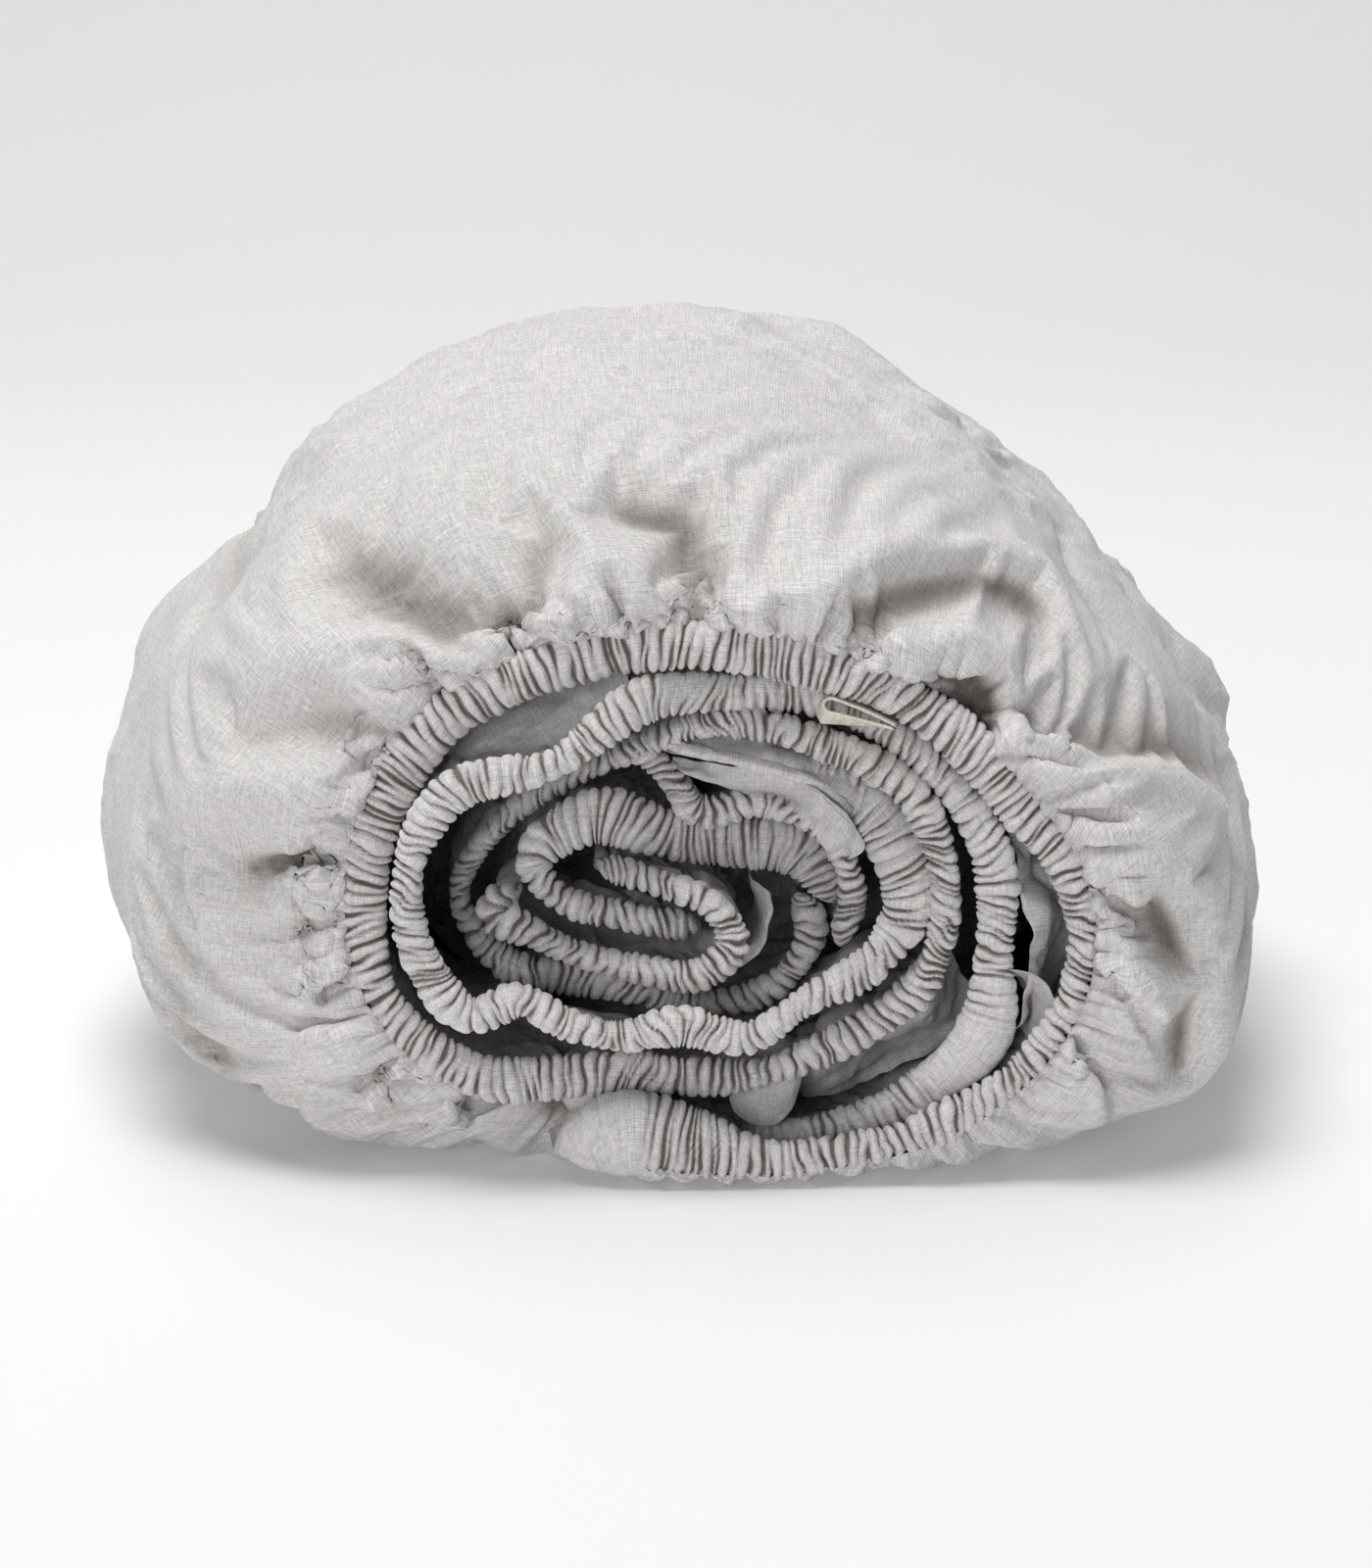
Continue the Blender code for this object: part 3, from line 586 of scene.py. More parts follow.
def from_line(places, turn, back, per_degree):
    """How far each point lies from a line of places, to its left, and how far along the line it is."""
    off = np.full(back.shape, np.inf)
    side = np.ones(back.shape)
    along = np.zeros(back.shape)
    for step, ((from_turn, from_back), (to_turn, to_back)) in enumerate(zip(places, places[1:])):
        around = ((turn - from_turn + 180) % 360 - 180) * per_degree
        onward = back - from_back
        run = (to_turn - from_turn) * per_degree
        rise = to_back - from_back
        length = np.maximum(run**2 + rise**2, 1e-9)
        share = np.clip((around * run + onward * rise) / length, 0, 1)
        away = np.hypot(around - share * run, onward - share * rise)
        nearer = away < off
        off = np.where(nearer, away, off)
        side = np.where(nearer, np.sign(around * rise - onward * run), side)
        along = np.where(nearer, (step + share) / (len(places) - 1), along)
    return off, side, along


def girth_of_degree(rows):
    """How many millimetres round the roll one degree is, at each point."""
    spacing = np.linalg.norm(np.roll(rows, -1, axis=1) - np.roll(rows, 1, axis=1), axis=2)
    return spacing / (2 * 360 / rows.shape[1])


def fold_height(rows, back, angle):
    """The height of the folds at each point of the rows."""
    turn = np.degrees(angle)[None, :]
    per_degree = girth_of_degree(rows)
    height = np.zeros(back.shape)
    for fold in FOLDS:
        off, _, _ = from_line(fold.places, turn, back, per_degree)
        height += fold.height * np.exp(-((off / (fold.width / 2)) ** fold.power))
    return height


def tuck_part(part, across):
    return np.exp(-(((across - part.off) / part.width) ** 2))


def tucked(points, rows, back, angle):
    """The points with the tucks laid into them, and the height of the tucks."""
    turn = np.degrees(angle)[None, :]
    per_degree = girth_of_degree(rows)
    round_roll = (np.roll(points, -1, axis=1) - np.roll(points, 1, axis=1)) / 2
    round_roll /= np.maximum(np.linalg.norm(round_roll, axis=2), 1e-9)[..., None]
    height = np.zeros(back.shape)
    lean = np.zeros(back.shape)
    for tuck in TUCKS:
        off, side, along = from_line(tuck.places, turn, back, per_degree)
        strength = TUCK_STRENGTH * tuck.depth * (1 - smooth_step(along, TUCK_RUNS_OUT, 1.0))
        strength = strength * np.exp(-((off / TUCK_REACH) ** 4))
        across = off * side * tuck.side / (TUCK_WIDENS[0] + TUCK_WIDENS[1] * along)
        for part in TUCK_PARTS:
            height += strength * part.share * tuck_part(part, across)
        lean -= tuck.side * TUCK_HANGS_OVER * strength * tuck_part(TUCK_EDGE, across)
    from_ring = smooth_step(back, *TUCKS_GROW)
    height *= from_ring
    lean *= from_ring
    return points + normals_of(points) * height[..., None] + round_roll * lean[..., None], height


def random_draws(seed):
    return np.random.default_rng(SEED * 100 + seed)


def uneven_pitches(total, low, high, seed):
    """Where each of a run of uneven gathers starts, ending exactly at the total."""
    draw = random_draws(seed)
    count = round(total / ((low + high) / 2))
    starts = running_sum(draw.uniform(low, high, count))
    return starts * total / starts[-1]


def pleat_starts(turn, length):
    """Where each pleat of a turn starts, with spare ones at both ends."""
    low, high = PLEAT_PITCH
    return uneven_pitches(length + 2 * SPARE_PLEATS, turn.pitch * low, turn.pitch * high, turn.seed)


def pleat_ridges(at, starts, seed, shape, lean=1.0):
    """Rounded ridges with narrow valleys between them, of uneven height, from 0 to 1."""
    draw = random_draws(seed + RIDGE_SEEDS)
    heights = draw.uniform(*PLEAT_HEIGHTS, len(starts) - 1)
    at = np.mod(at, starts[-1])
    phase = np.interp(at, starts, np.arange(len(starts)))
    pleat = np.minimum(phase.astype(int), len(heights) - 1)
    return heights[pleat] * np.sin(math.pi * (phase - pleat) ** lean) ** shape


def pleat_valleys(at, across, starts, seed):
    """Narrow valleys between the pleats, from 0 to 1, some of which fade towards one edge of the casing."""
    draw = random_draws(seed + VALLEY_SEEDS)
    depth = draw.uniform(*VALLEY_DEPTHS, len(starts))
    fade = draw.uniform(-VALLEY_FADES, VALLEY_FADES, len(starts))
    wide = VALLEY_WIDTH * draw.uniform(*VALLEY_WIDTHS, len(starts))
    pleat = np.clip(np.searchsorted(starts, at, side="right") - 1, 0, len(starts) - 2)
    cut = np.zeros(np.broadcast(at, across).shape)
    for beside in (pleat, pleat + 1):
        strength = np.clip(depth[beside] + fade[beside] * across, VALLEY_LEAST, VALLEY_DEPTHS[1])
        off = np.abs(at - starts[beside]) / wide[beside]
        cut = np.maximum(cut, strength * np.exp(-(off**VALLEY_POWER)))
    return cut


def gather_height(back, angle, domain):
    """Small gathers that run out over the outer cloth from the ring's stitching."""
    mouth, _ = mouth_outline(angle, MOUTH_OUTSIDE)
    steps = np.linalg.norm(np.roll(mouth, -1, axis=0) - mouth, axis=1)
    around = running_sum(steps)
    total = around[-1]
    around = np.broadcast_to(around[None, :-1], back.shape)
    height = np.zeros(back.shape)
    for gather in GATHERS:
        starts = uneven_pitches(total, *np.multiply(GATHER_PITCHES, gather.pitch), gather.seed)
        out = back / gather.reach
        wander = gather.wander * soft_noise(domain, GATHER_BENDS, gather.seed) * np.minimum(out, WANDER_MOST)
        ridge = pleat_ridges(around + wander, starts, gather.seed, GATHER_SHAPE, gather.lean) - 0.5
        strength = GATHER_SHARE + GATHER_VARIES * soft_noise(domain, GATHER_PATCH, gather.seed + 0.5)
        height += gather.height * ridge * strength * np.exp(-(out**GATHER_FADE))
    return height


def cut_wider(smooth, back):
    """The shape that the cloth round the ring is cut to: wider and longer than the place that it fills."""
    centre = np.array([MOUTH_CENTRE[0], 0.0, MOUTH_CENTRE[1]])
    fade = 1 - smooth_step(back / back[-1:], *CUT_FADE)
    wider = 1 + CUT_ALL_OVER * fade + CUT_AT_RING * np.exp(-back / CUT_REACH)
    cut = centre + (smooth - centre) * wider[..., None]
    step = np.linalg.norm(np.diff(smooth, axis=0), axis=2) * (1 + CUT_LONGER * fade[1:])
    sideways = np.linalg.norm(np.diff(cut[..., [0, 2]], axis=0), axis=2)
    rise = np.sqrt(np.maximum(step**2 - sideways**2, (LEAST_RISE * step) ** 2))
    cut[..., 1] = running_sum(rise)
    return cut


# The corners of a grid's face, by row and column
FACE_CORNERS = ((0, 0), (0, 1), (1, 1), (1, 0))


def at_corners(values, corners):
    """The values at the corners of each face of a grid."""
    tall, wide = values.shape[0] - 1, values.shape[1] - 1
    return np.stack([values[i : i + tall, j : j + wide] for i, j in corners], axis=2)


def drawn_in(cut, start, hold):
    """A closed band of cloth, let go from its cut shape and drawn in to its place by its held edges."""
    rows, columns = cut.shape[:2]
    index = np.arange(rows * columns).reshape(rows, columns)
    faces = at_corners(np.concatenate([index, index[:, :1]], axis=1)[..., None], FACE_CORNERS).reshape(-1, 4)
    mesh = bpy.data.meshes.new("settling")
    mesh.from_pydata((cut.reshape(-1, 3) * SETTLE_SCALE).tolist(), [], faces.tolist())
    cloth = bpy.data.objects.new("settling", mesh)
    scene = bpy.context.scene
    scene.collection.objects.link(cloth)
    cloth.shape_key_add(name="cut")
    place = cloth.shape_key_add(name="place")
    place.data.foreach_set("co", (start * SETTLE_SCALE).astype(np.float32).ravel())
    drawn_in_at, end = SETTLE_FRAMES
    for moment, value in ((1, 0.0), (drawn_in_at, 1.0)):
        place.value = value
        place.keyframe_insert("value", frame=moment)
    held = cloth.vertex_groups.new(name="held")
    hold = np.round(hold, 2)
    hold[[0, -1]] = 1.0
    for weight in np.unique(hold):
        held.add(index[hold == weight].tolist(), weight, "REPLACE")
    modifier = cloth.modifiers.new("cloth", "CLOTH")
    settings = modifier.settings
    for name, value in CLOTH_SETTINGS.items():
        setattr(settings, name, value)
    settings.effector_weights.gravity = 0
    modifier.collision_settings.use_collision = False
    modifier.point_cache.frame_start = 1
    modifier.point_cache.frame_end = end
    for moment in range(1, end + 1):
        scene.frame_set(moment)
    shape = cloth.evaluated_get(bpy.context.evaluated_depsgraph_get())
    result = np.empty(rows * columns * 3, np.float32)
    shape.data.vertices.foreach_get("co", result)
    scene.frame_set(1)
    action = mesh.shape_keys.animation_data.action
    bpy.data.objects.remove(cloth)
    bpy.data.meshes.remove(mesh)
    bpy.data.actions.remove(action)
    return result.reshape(cut.shape).astype(float) / SETTLE_SCALE


def settled(start, smooth, back):
    """The cloth round the ring after it has buckled, worked out on a thinned grid of its points."""
    thin = SETTLE_THIN
    few = (slice(None, None, thin), slice(None, None, thin))
    patches = np.clip(soft_noise(smooth[few], HOLD_PATCH, HOLD_SEED), -1, 1)
    hold = HOLD * (1 + HOLD_VARIES * patches)
    moved = drawn_in(cut_wider(smooth[few], back[few]), start[few], hold) - start[few]
    rows, columns = back.shape
    moved = smooth_between(np.arange(0, rows, thin), moved, np.arange(rows))
    moved = np.concatenate([moved[:, -2:], moved, moved[:, :2]], axis=1).swapaxes(0, 1)
    keys = np.arange(len(moved)) * thin - 2 * thin
    return start + smooth_between(keys, moved, np.arange(columns)).swapaxes(0, 1)


def crumple_height(domain, back):
    """The soft crumples and creases of washed linen."""
    warp = [soft_noise(domain, CRUMPLE_WARP.size, CRUMPLE_WARP.seed + axis) for axis in range(3)]
    warped = domain + CRUMPLE_WARP.height * np.stack(warp, axis=-1)
    height = np.zeros(domain.shape[:-1])
    busy = np.clip(CRUMPLE_SHARE + waves(domain, CRUMPLE_PATCHES), *CRUMPLE_LIMITS)
    for crumple in CRUMPLES:
        wave = soft_noise(warped, crumple.size, crumple.seed)
        crease = CREASE_TOP - np.abs(wave) * CREASE_SLOPE
        height += crumple.height * busy * ((1 - crumple.crease) * wave + crumple.crease * crease)
    return height * np.clip(back / CRUMPLES_GROW, CRUMPLES_AT_RING, 1)


# A grid's relief is painted shade below zero and painted highlight above it, which the material's ramp turns
# into colour
Grid = namedtuple("Grid", "points coords relief normals wrapped")


def cloth_object(name, grids):
    """One object of several grids of points. The coords are thread counts' millimetres, for the weave."""
    points, normals, relief, faces, coords = [], [], [], [], []
    start = 0
    for grid in grids:
        rows, columns = grid.points.shape[:2]
        index = start + np.arange(rows * columns).reshape(rows, columns)
        if grid.wrapped:
            index = np.concatenate([index, index[:, :1]], axis=1)
        outward = np.sum(normals_of(grid.points, grid.wrapped) * grid.normals) > 0
        corners = FACE_CORNERS[::-1] if outward else FACE_CORNERS
        faces.append(at_corners(index[..., None], corners).reshape(-1, 4))
        coords.append(at_corners(grid.coords, corners).reshape(-1, 2))
        above_floor = grid.points.reshape(-1, 3).copy()
        above_floor[:, 2] = np.maximum(above_floor[:, 2], FLOOR_GAP)
        points.append(above_floor)
        normals.append(grid.normals.reshape(-1, 3))
        relief.append(grid.relief.reshape(-1))
        start += rows * columns
    mesh = bpy.data.meshes.new(name)
    mesh.from_pydata(((np.concatenate(points) - SHIFT) * MM).tolist(), [], np.concatenate(faces).tolist())
    layer = mesh.uv_layers.new(name="cloth")
    layer.data.foreach_set("uv", np.concatenate(coords).astype(np.float32).ravel())
    # The painted shade and highlight, read by the material's ramp
    attribute = mesh.attributes.new("relief", "FLOAT", "POINT")
    attribute.data.foreach_set("value", np.concatenate(relief).astype(np.float32))
    mesh.shade_smooth()
    mesh.normals_split_custom_set_from_vertices(np.concatenate(normals).tolist())
    piece = bpy.data.objects.new(name, mesh)
    bpy.context.scene.collection.objects.link(piece)
    return piece


def smooth_step(values, start, end):
    share = np.clip((values - start) / (end - start), 0, 1)
    return share * share * (3 - 2 * share)


def outer_cloth():
    """The outer cloth in three pieces: round the front end, along the roll and over the far end."""
    angle = np.linspace(-math.pi, math.pi, COLUMNS, endpoint=False)
    rows, counts = outer_rows(angle)
    back = length_so_far(rows)
    domain = spread(NOISE_RADIUS * np.cos(angle), NOISE_RADIUS * np.sin(angle), NOISE_BACK * back)
    gathers = gather_height(back, angle, domain) * smooth_step(rows[..., 2], *GATHERS_ABOVE_FLOOR)
    strength = 1 + (FOLD_STRENGTH - 1) * (1 - smooth_step(back, *FOLD_STRENGTH_FADE))
    height = strength * fold_height(rows, back, angle)
    height += GATHER_STRENGTH * gathers + CRUMPLE_STRENGTH * crumple_height(domain, back)
    height *= np.clip((back[-1:] - back) / FLAT_AT_HUB, 0, 1)
    height = np.where(height > 0, height * smooth_step(back, 0, FLAT_AT_RING), height)
    points = rows + normals_of(rows) * height[..., None]
    front = slice(0, counts[0])
    points[front] = settled(points[front], rows[front], back[front])
    points, tucks = tucked(points, rows, back, angle)
    height += tucks
    points[..., 2] = np.maximum(points[..., 2], FLOOR_GAP)
    normals = normals_of(points)
    around = np.linspace(0, CLOTH_GIRTH, COLUMNS + 1)
    coords = spread(around, np.pad(back, ((0, 0), (0, 1)), mode="wrap"))
    ends = np.cumsum(counts)
    names = ("outer_cloth_front", "outer_cloth_barrel", "outer_cloth_far_end")
    pieces = []
    for name, start, end in zip(names, (0, ends[0] - 1, ends[1] - 1), ends):
        part = slice(start, end)
        # Painted shade in the troughs of the folds, gathers, crumples and tucks, painted highlight on their
        # ridges
        relief = height[part] * CLOTH_PAINTED_LIGHT
        pieces.append(cloth_object(name, [Grid(points[part], coords[part], relief, normals[part], True)]))
    return pieces


# The cloth behind a casing: fine pleats that run out, broad puckers that grow, and swells
SKIRT_CLOSER = 1.4  # its rows lie closer at the casing
SKIRT_LEAST = 8.0
SKIRT_WANDER = table(Wave, (3, 14, 6))
SKIRT_WANDERS = 10.0
SKIRT_PLEATS = 1.2
SKIRT_PLEATS_REACH = 5.0
PUCKER_PITCH = (6, 15)
PUCKER_SHAPE = 0.9
PUCKER_HEIGHT = 3.2
PUCKERS_GROW = 9.0
SKIRT_SWELL = table(Wave, (2.2, 26, 8))
SKIRT_SWELLS = 12.0
SKIRT_GRAIN = table(Wave, (0.6, 8, 9))
SKIRT_FULLNESS = 1.5
# The puckers' height is painted into the colour: painted shade in their troughs, painted highlight on their
# ridges
SKIRT_PAINTED_LIGHT = 0.15


def casing_depth(width):
    """Half of the casing's depth behind its front edge, for how wide it looks."""
    girth = np.sqrt(np.maximum(2 * CASING_ROUND**2 - (width / 2) ** 2, 0))
    return np.maximum(np.minimum(girth, width), CASING_LEAST_DEPTH * width)


def casing_grid(turn):
    """The gathered tube of cloth round the elastic."""
    path, at = even_path(turn.bends, CASING_STEP)
    side = side_of(path)
    half_wide = path[:, 3] / 2
    half_deep = casing_depth(path[:, 3])
    taper = np.sqrt(np.clip(np.minimum(at, at[-1] - at) / CASING_TAPER, CASING_TIP, 1))
    around = np.linspace(0, 2 * math.pi, CASING_SIDES, endpoint=False)
    cos, sin = np.cos(around)[None, :], np.sin(around)[None, :]
    run = at[:, None]
    spot = spread(run + SEED_STRIDE * turn.seed, NOISE_ROUND * cos, NOISE_ROUND * sin)
    starts = pleat_starts(turn, at[-1])
    place = run + SPARE_PLEATS + waves(spot * (1, 0, 0), PLEAT_LEAN) * cos + waves(spot, PLEAT_WAVER)
    ridges = pleat_ridges(place, starts, turn.seed, PLEAT_SHAPE)
    valleys = pleat_valleys(place, cos, starts, turn.seed)
    calm_from, calm_to = turn.calm
    calm = smooth_step(run, calm_from - CALM_BLEND, calm_from)
    calm = calm * (1 - smooth_step(run, calm_to, calm_to + CALM_BLEND))
    stirred = CALM_PLEATS + (1 - CALM_PLEATS) * (1 - calm)
    strength = turn.pleat * stirred * np.minimum(path[:, 3:] / FULL_PLEATS_WIDTH, 1)
    swell = waves(spot * SWELL_STRETCH, CASING_SWELL) + waves(spot, CASING_GRAIN)
    valley_depth = VALLEY_DEPTH + (VALLEY_DEPTH_BESIDE - VALLEY_DEPTH) * cos**2
    height = strength * (PLEAT_HEIGHT * (ridges - 0.5) - valley_depth * valleys) + swell + CASING_RAISED
    bulk = (1 - CASING_SQUEEZED * np.abs(cos) ** CASING_SQUEEZE_POWER) * taper[:, None]
    wide = (half_wide[:, None] * bulk + height * taper[:, None]) * cos
    deep = (half_deep[:, None] * bulk + height * taper[:, None]) * sin
    depth = (path[:, 2] + half_deep)[:, None] - deep
    points = spread(path[:, :1] + side[:, :1] * wide, depth, path[:, 1:2] + side[:, 1:] * wide)
    girth = 2 * math.pi * np.sqrt((half_wide**2 + half_deep**2) / 2)[:, None]
    coords = spread(run, girth * np.linspace(0, 1, CASING_SIDES + 1))
    # Painted shade in the pleats' valleys, on an even lift towards the ridge colour
    relief = CASING_PAINTED_LIGHT - VALLEY_PAINTED_SHADE * strength * valleys
    return Grid(points, coords, relief, -normals_of(points), True)


def skirt_grid(turn):
    """The cloth behind a casing, in puckers that open out as it goes back."""
    path, at = even_path(turn.bends, SKIRT_STEP)
    side = side_of(path)
    half_deep = casing_depth(path[:, 3])
    start = (path[:, 2] + 1.5 * half_deep)[:, None]
    share = np.linspace(0, 1, SKIRT_ROWS)[None, :] ** SKIRT_CLOSER
    depth = start + (np.maximum(turn.root, start + SKIRT_LEAST) - start) * share
    gone = depth - start
    run = at[:, None]
    spot = spread(run + SEED_STRIDE * turn.seed, gone, 0.0)
    starts = pleat_starts(turn, at[-1])
    wander = waves(spot, SKIRT_WANDER) * np.minimum(gone / SKIRT_WANDERS, WANDER_MOST)
    fine = pleat_ridges(run + SPARE_PLEATS + wander, starts, turn.seed, PLEAT_SHAPE) - 0.5
    seed = turn.seed + 7
    wide_starts = uneven_pitches(at[-1] + 3 * SPARE_PLEATS, *PUCKER_PITCH, seed)
    broad = pleat_ridges(run + 1.5 * SPARE_PLEATS + 2 * wander, wide_starts, seed, PUCKER_SHAPE) - 0.5
    height = (
        SKIRT_PLEATS * fine * np.exp(-gone / SKIRT_PLEATS_REACH)
        + PUCKER_HEIGHT * broad * np.minimum(gone / PUCKERS_GROW, 1)
        + waves(spot, SKIRT_SWELL) * np.minimum(gone / SKIRT_SWELLS, 1)
        + waves(spot, SKIRT_GRAIN)
    )
    off = turn.lean * gone + height
    points = spread(path[:, :1] + side[:, :1] * off, depth, path[:, 1:2] + side[:, 1:] * off)
    coords = spread(SKIRT_FULLNESS * run, gone)
    # Painted shade in the troughs of the pleats and puckers, painted highlight on their ridges
    return Grid(points, coords, height * SKIRT_PAINTED_LIGHT, normals_of(points, wrapped=False), False)


def recess_cloth():
    """Crumpled inner layers at the bottom of the gaps between the turns."""
    angle = np.linspace(-math.pi, math.pi, RECESS_COLUMNS, endpoint=False)
    edge, _ = mouth_outline(angle, MOUTH_INSIDE)
    share = np.linspace(1.0, 0, RECESS_ROWS)[:, None, None]
    flat = np.array(MOUTH_CENTRE) + (edge - MOUTH_CENTRE)[None] * share
    points = spread(flat[..., 0], INNER_DEPTH, flat[..., 1])
    points[..., 1] += waves(points, RECESS_WAVES)
    coords = np.pad(flat, ((0, 0), (0, 1), (0, 0)), mode="wrap")
    # Painted shade all over the inner layers
    relief = np.full(flat.shape[:2], RECESS_PAINTED_SHADE)
    return cloth_object("inner_layers", [Grid(points, coords, relief, normals_of(points), True)])


# Loose cloth that shows between the turns, from a front edge to a back edge with a swell between them. The
# edges are rows of x, z and depth.
Loose = namedtuple("Loose", "front back swell ruffle seed")
LOOSE = {
    "cloth_by_seam": Loose(
        ((-14, 106, 34), (2, 103, 29), (14, 101, 27), (25, 97, 26), (32, 92, 26), (36, 85, 29)),
        ((-8, 114, 46), (5, 111, 44), (18, 109, 44), (31, 104, 44), (40, 97, 44), (44, 88, 44)),
        1.5, 1.0, 57,
    ),
    "seam_allowance": Loose(
        ((-9, 99, 29), (3, 96, 25), (13, 93, 24), (22, 88, 24), (27, 82, 26), (28, 77, 29)),
        ((-12, 105, 33), (2, 102, 29), (14, 100, 27), (25, 96, 26), (31, 91, 26), (34, 85, 29)),
        1.0, 2.0, 58,
    ),
    "cloth_upper_left": Loose(
        ((-22, 121, 26), (-29, 116, 25), (-37, 109, 24), (-47, 104, 22), (-60, 102, 20)),
        ((-24, 142, 50), (-36, 138, 50), (-50, 130, 50), (-62, 122, 48), (-76, 108, 48)),
        3, 1.0, 51,
    ),
    "cloth_right": Loose(
        ((70, 93, 24), (74, 84, 20), (75, 74, 17), (76, 62, 16), (76, 49, 15), (73, 38, 16)),
        ((78, 92, 46), (86, 82, 44), (92, 72, 42), (93, 60, 40), (90, 48, 40), (84, 40, 40)),
        5, 1.6, 52,
    ),
    "loop_right": Loose(
        ((72, 54, 8), (78, 52, 7), (82, 46, 8), (82, 39, 9), (78, 34, 12)),
        ((71, 50, 24), (75, 49, 22), (78, 45, 22), (78, 40, 22), (76, 36, 24)),
        2.5, 0.9, 53,
    ),
    "cloth_low_right": Loose(
        ((14, 28, 26), (25, 31, 23), (34, 34, 22), (42, 38, 22), (50, 43, 24), (60, 54, 30)),
        ((14, 16, 52), (26, 12, 50), (36, 13, 50), (46, 18, 50), (56, 25, 50), (66, 38, 50)),
        4, 1.2, 54,
    ),
    "tab_low": Loose(
        ((3, 17, 23), (5, 13, 22), (9, 11, 21), (14, 11, 21), (18, 14, 21), (21, 19, 22)),
        ((6, 26, 17), (8, 26, 16), (11, 26, 15), (15, 26, 15), (19, 27, 15), (23, 28, 17)),
        0.5, 0.4, 55,
    ),
    "cloth_in_core": Loose(
        ((12, 70, 24), (13, 64, 20), (12, 58, 18), (8, 52, 19), (2, 47, 24)),
        ((8, 71, 50), (9, 64, 50), (7, 57, 50), (3, 51, 50), (-2, 47, 50)),
        2, 0.8, 56,
    ),
}
LOOSE_STEP = 0.8
LOOSE_ROWS = 44
LOOSE_LENGTH = 30.0
LOOSE_AHEAD = 0.12  # how far before the middle it swells most
# Loose cloth gets painted shade over most of it, lighter towards the crests of its waves
LOOSE_PAINTED_LIGHT = 0.05
LOOSE_WAVES = table(Wave, (3, 22, 1), (1.2, 9, 2), (0.5, 4, 3))
RECESS_COLUMNS = 220
RECESS_ROWS = 60
# The inner layers are painted darker all over: painted shade at the bottom of the gaps
RECESS_PAINTED_SHADE = -0.4
RECESS_WAVES = table(Wave, (4, 16, 41), (1.5, 6, 42))

# The blank label, a folded tape that pokes out under the ring's inner edge, as in its solid
LABEL_FROM = 210.0
LABEL_TO = 228.0
LABEL_RING = table(
    Bend,
    (-15, 11, 0, 11), (2, 7, -2, 10), (27, 8, -1, 9), (52, 14, 0, 9.5),
    (76, 29, 2, 8), (89, 49, 4, 8), (91, 65, 6, 8), (87, 79, 7, 9),
    (76, 93, 9, 10.5), (55, 116, 10, 11), (26, 130, 10, 11.5), (-8, 135, 10, 11),
)
LABEL_DEPTH = (10.6, 18.5)
LABEL_THICK = 0.7
LABEL_OPEN = 3.4
LABEL_TILT = 4.5  # how much lower the rear edge of the lower layer lies
LABEL_TILT_AT_END = 0.3
LABEL_CLOSED = 1.0
LABEL_BOW = 0.5
LABEL_FOLD = 1.2  # how round the fold is
LABEL_OPENS = 1.5
LABEL_EDGE = 0.25  # the front edge's round
LABEL_RELIEF = 0.2
LABEL_BESIDE = 0.9
LABEL_STEPS = 24
LABEL_GIRTH = (0, 0.4, 0.8, 8, 8.8, 9.6)  # round the tape's section, to each edge


def loose_grid(loose):
    """A piece of loose cloth that hangs between its front and its back edge."""
    keys = length_so_far(loose.front)
    at = np.linspace(0, keys[-1], round(keys[-1] / LOOSE_STEP))
    edges = (loose.front, loose.back)
    front, rear = (smooth_between(keys, edge, at)[:, None, [0, 2, 1]] for edge in edges)
    share = np.linspace(0, 1, LOOSE_ROWS)[None, :, None]
    points = front + (rear - front) * share
    points[..., 1] -= loose.swell * np.sin(math.pi * np.clip(share[..., 0] + LOOSE_AHEAD, 0, 1))
    facing = normals_of(points, wrapped=False)
    height = waves(points + loose.seed, LOOSE_WAVES)
    points = points + facing * (loose.ruffle * height)[..., None]
    coords = spread(at[:, None], LOOSE_LENGTH * share[..., 0])
    # Painted shade over most of the piece, lighter on the crests of its waves
    return Grid(points, coords, LOOSE_PAINTED_LIGHT * (height - 2), normals_of(points, wrapped=False), False)


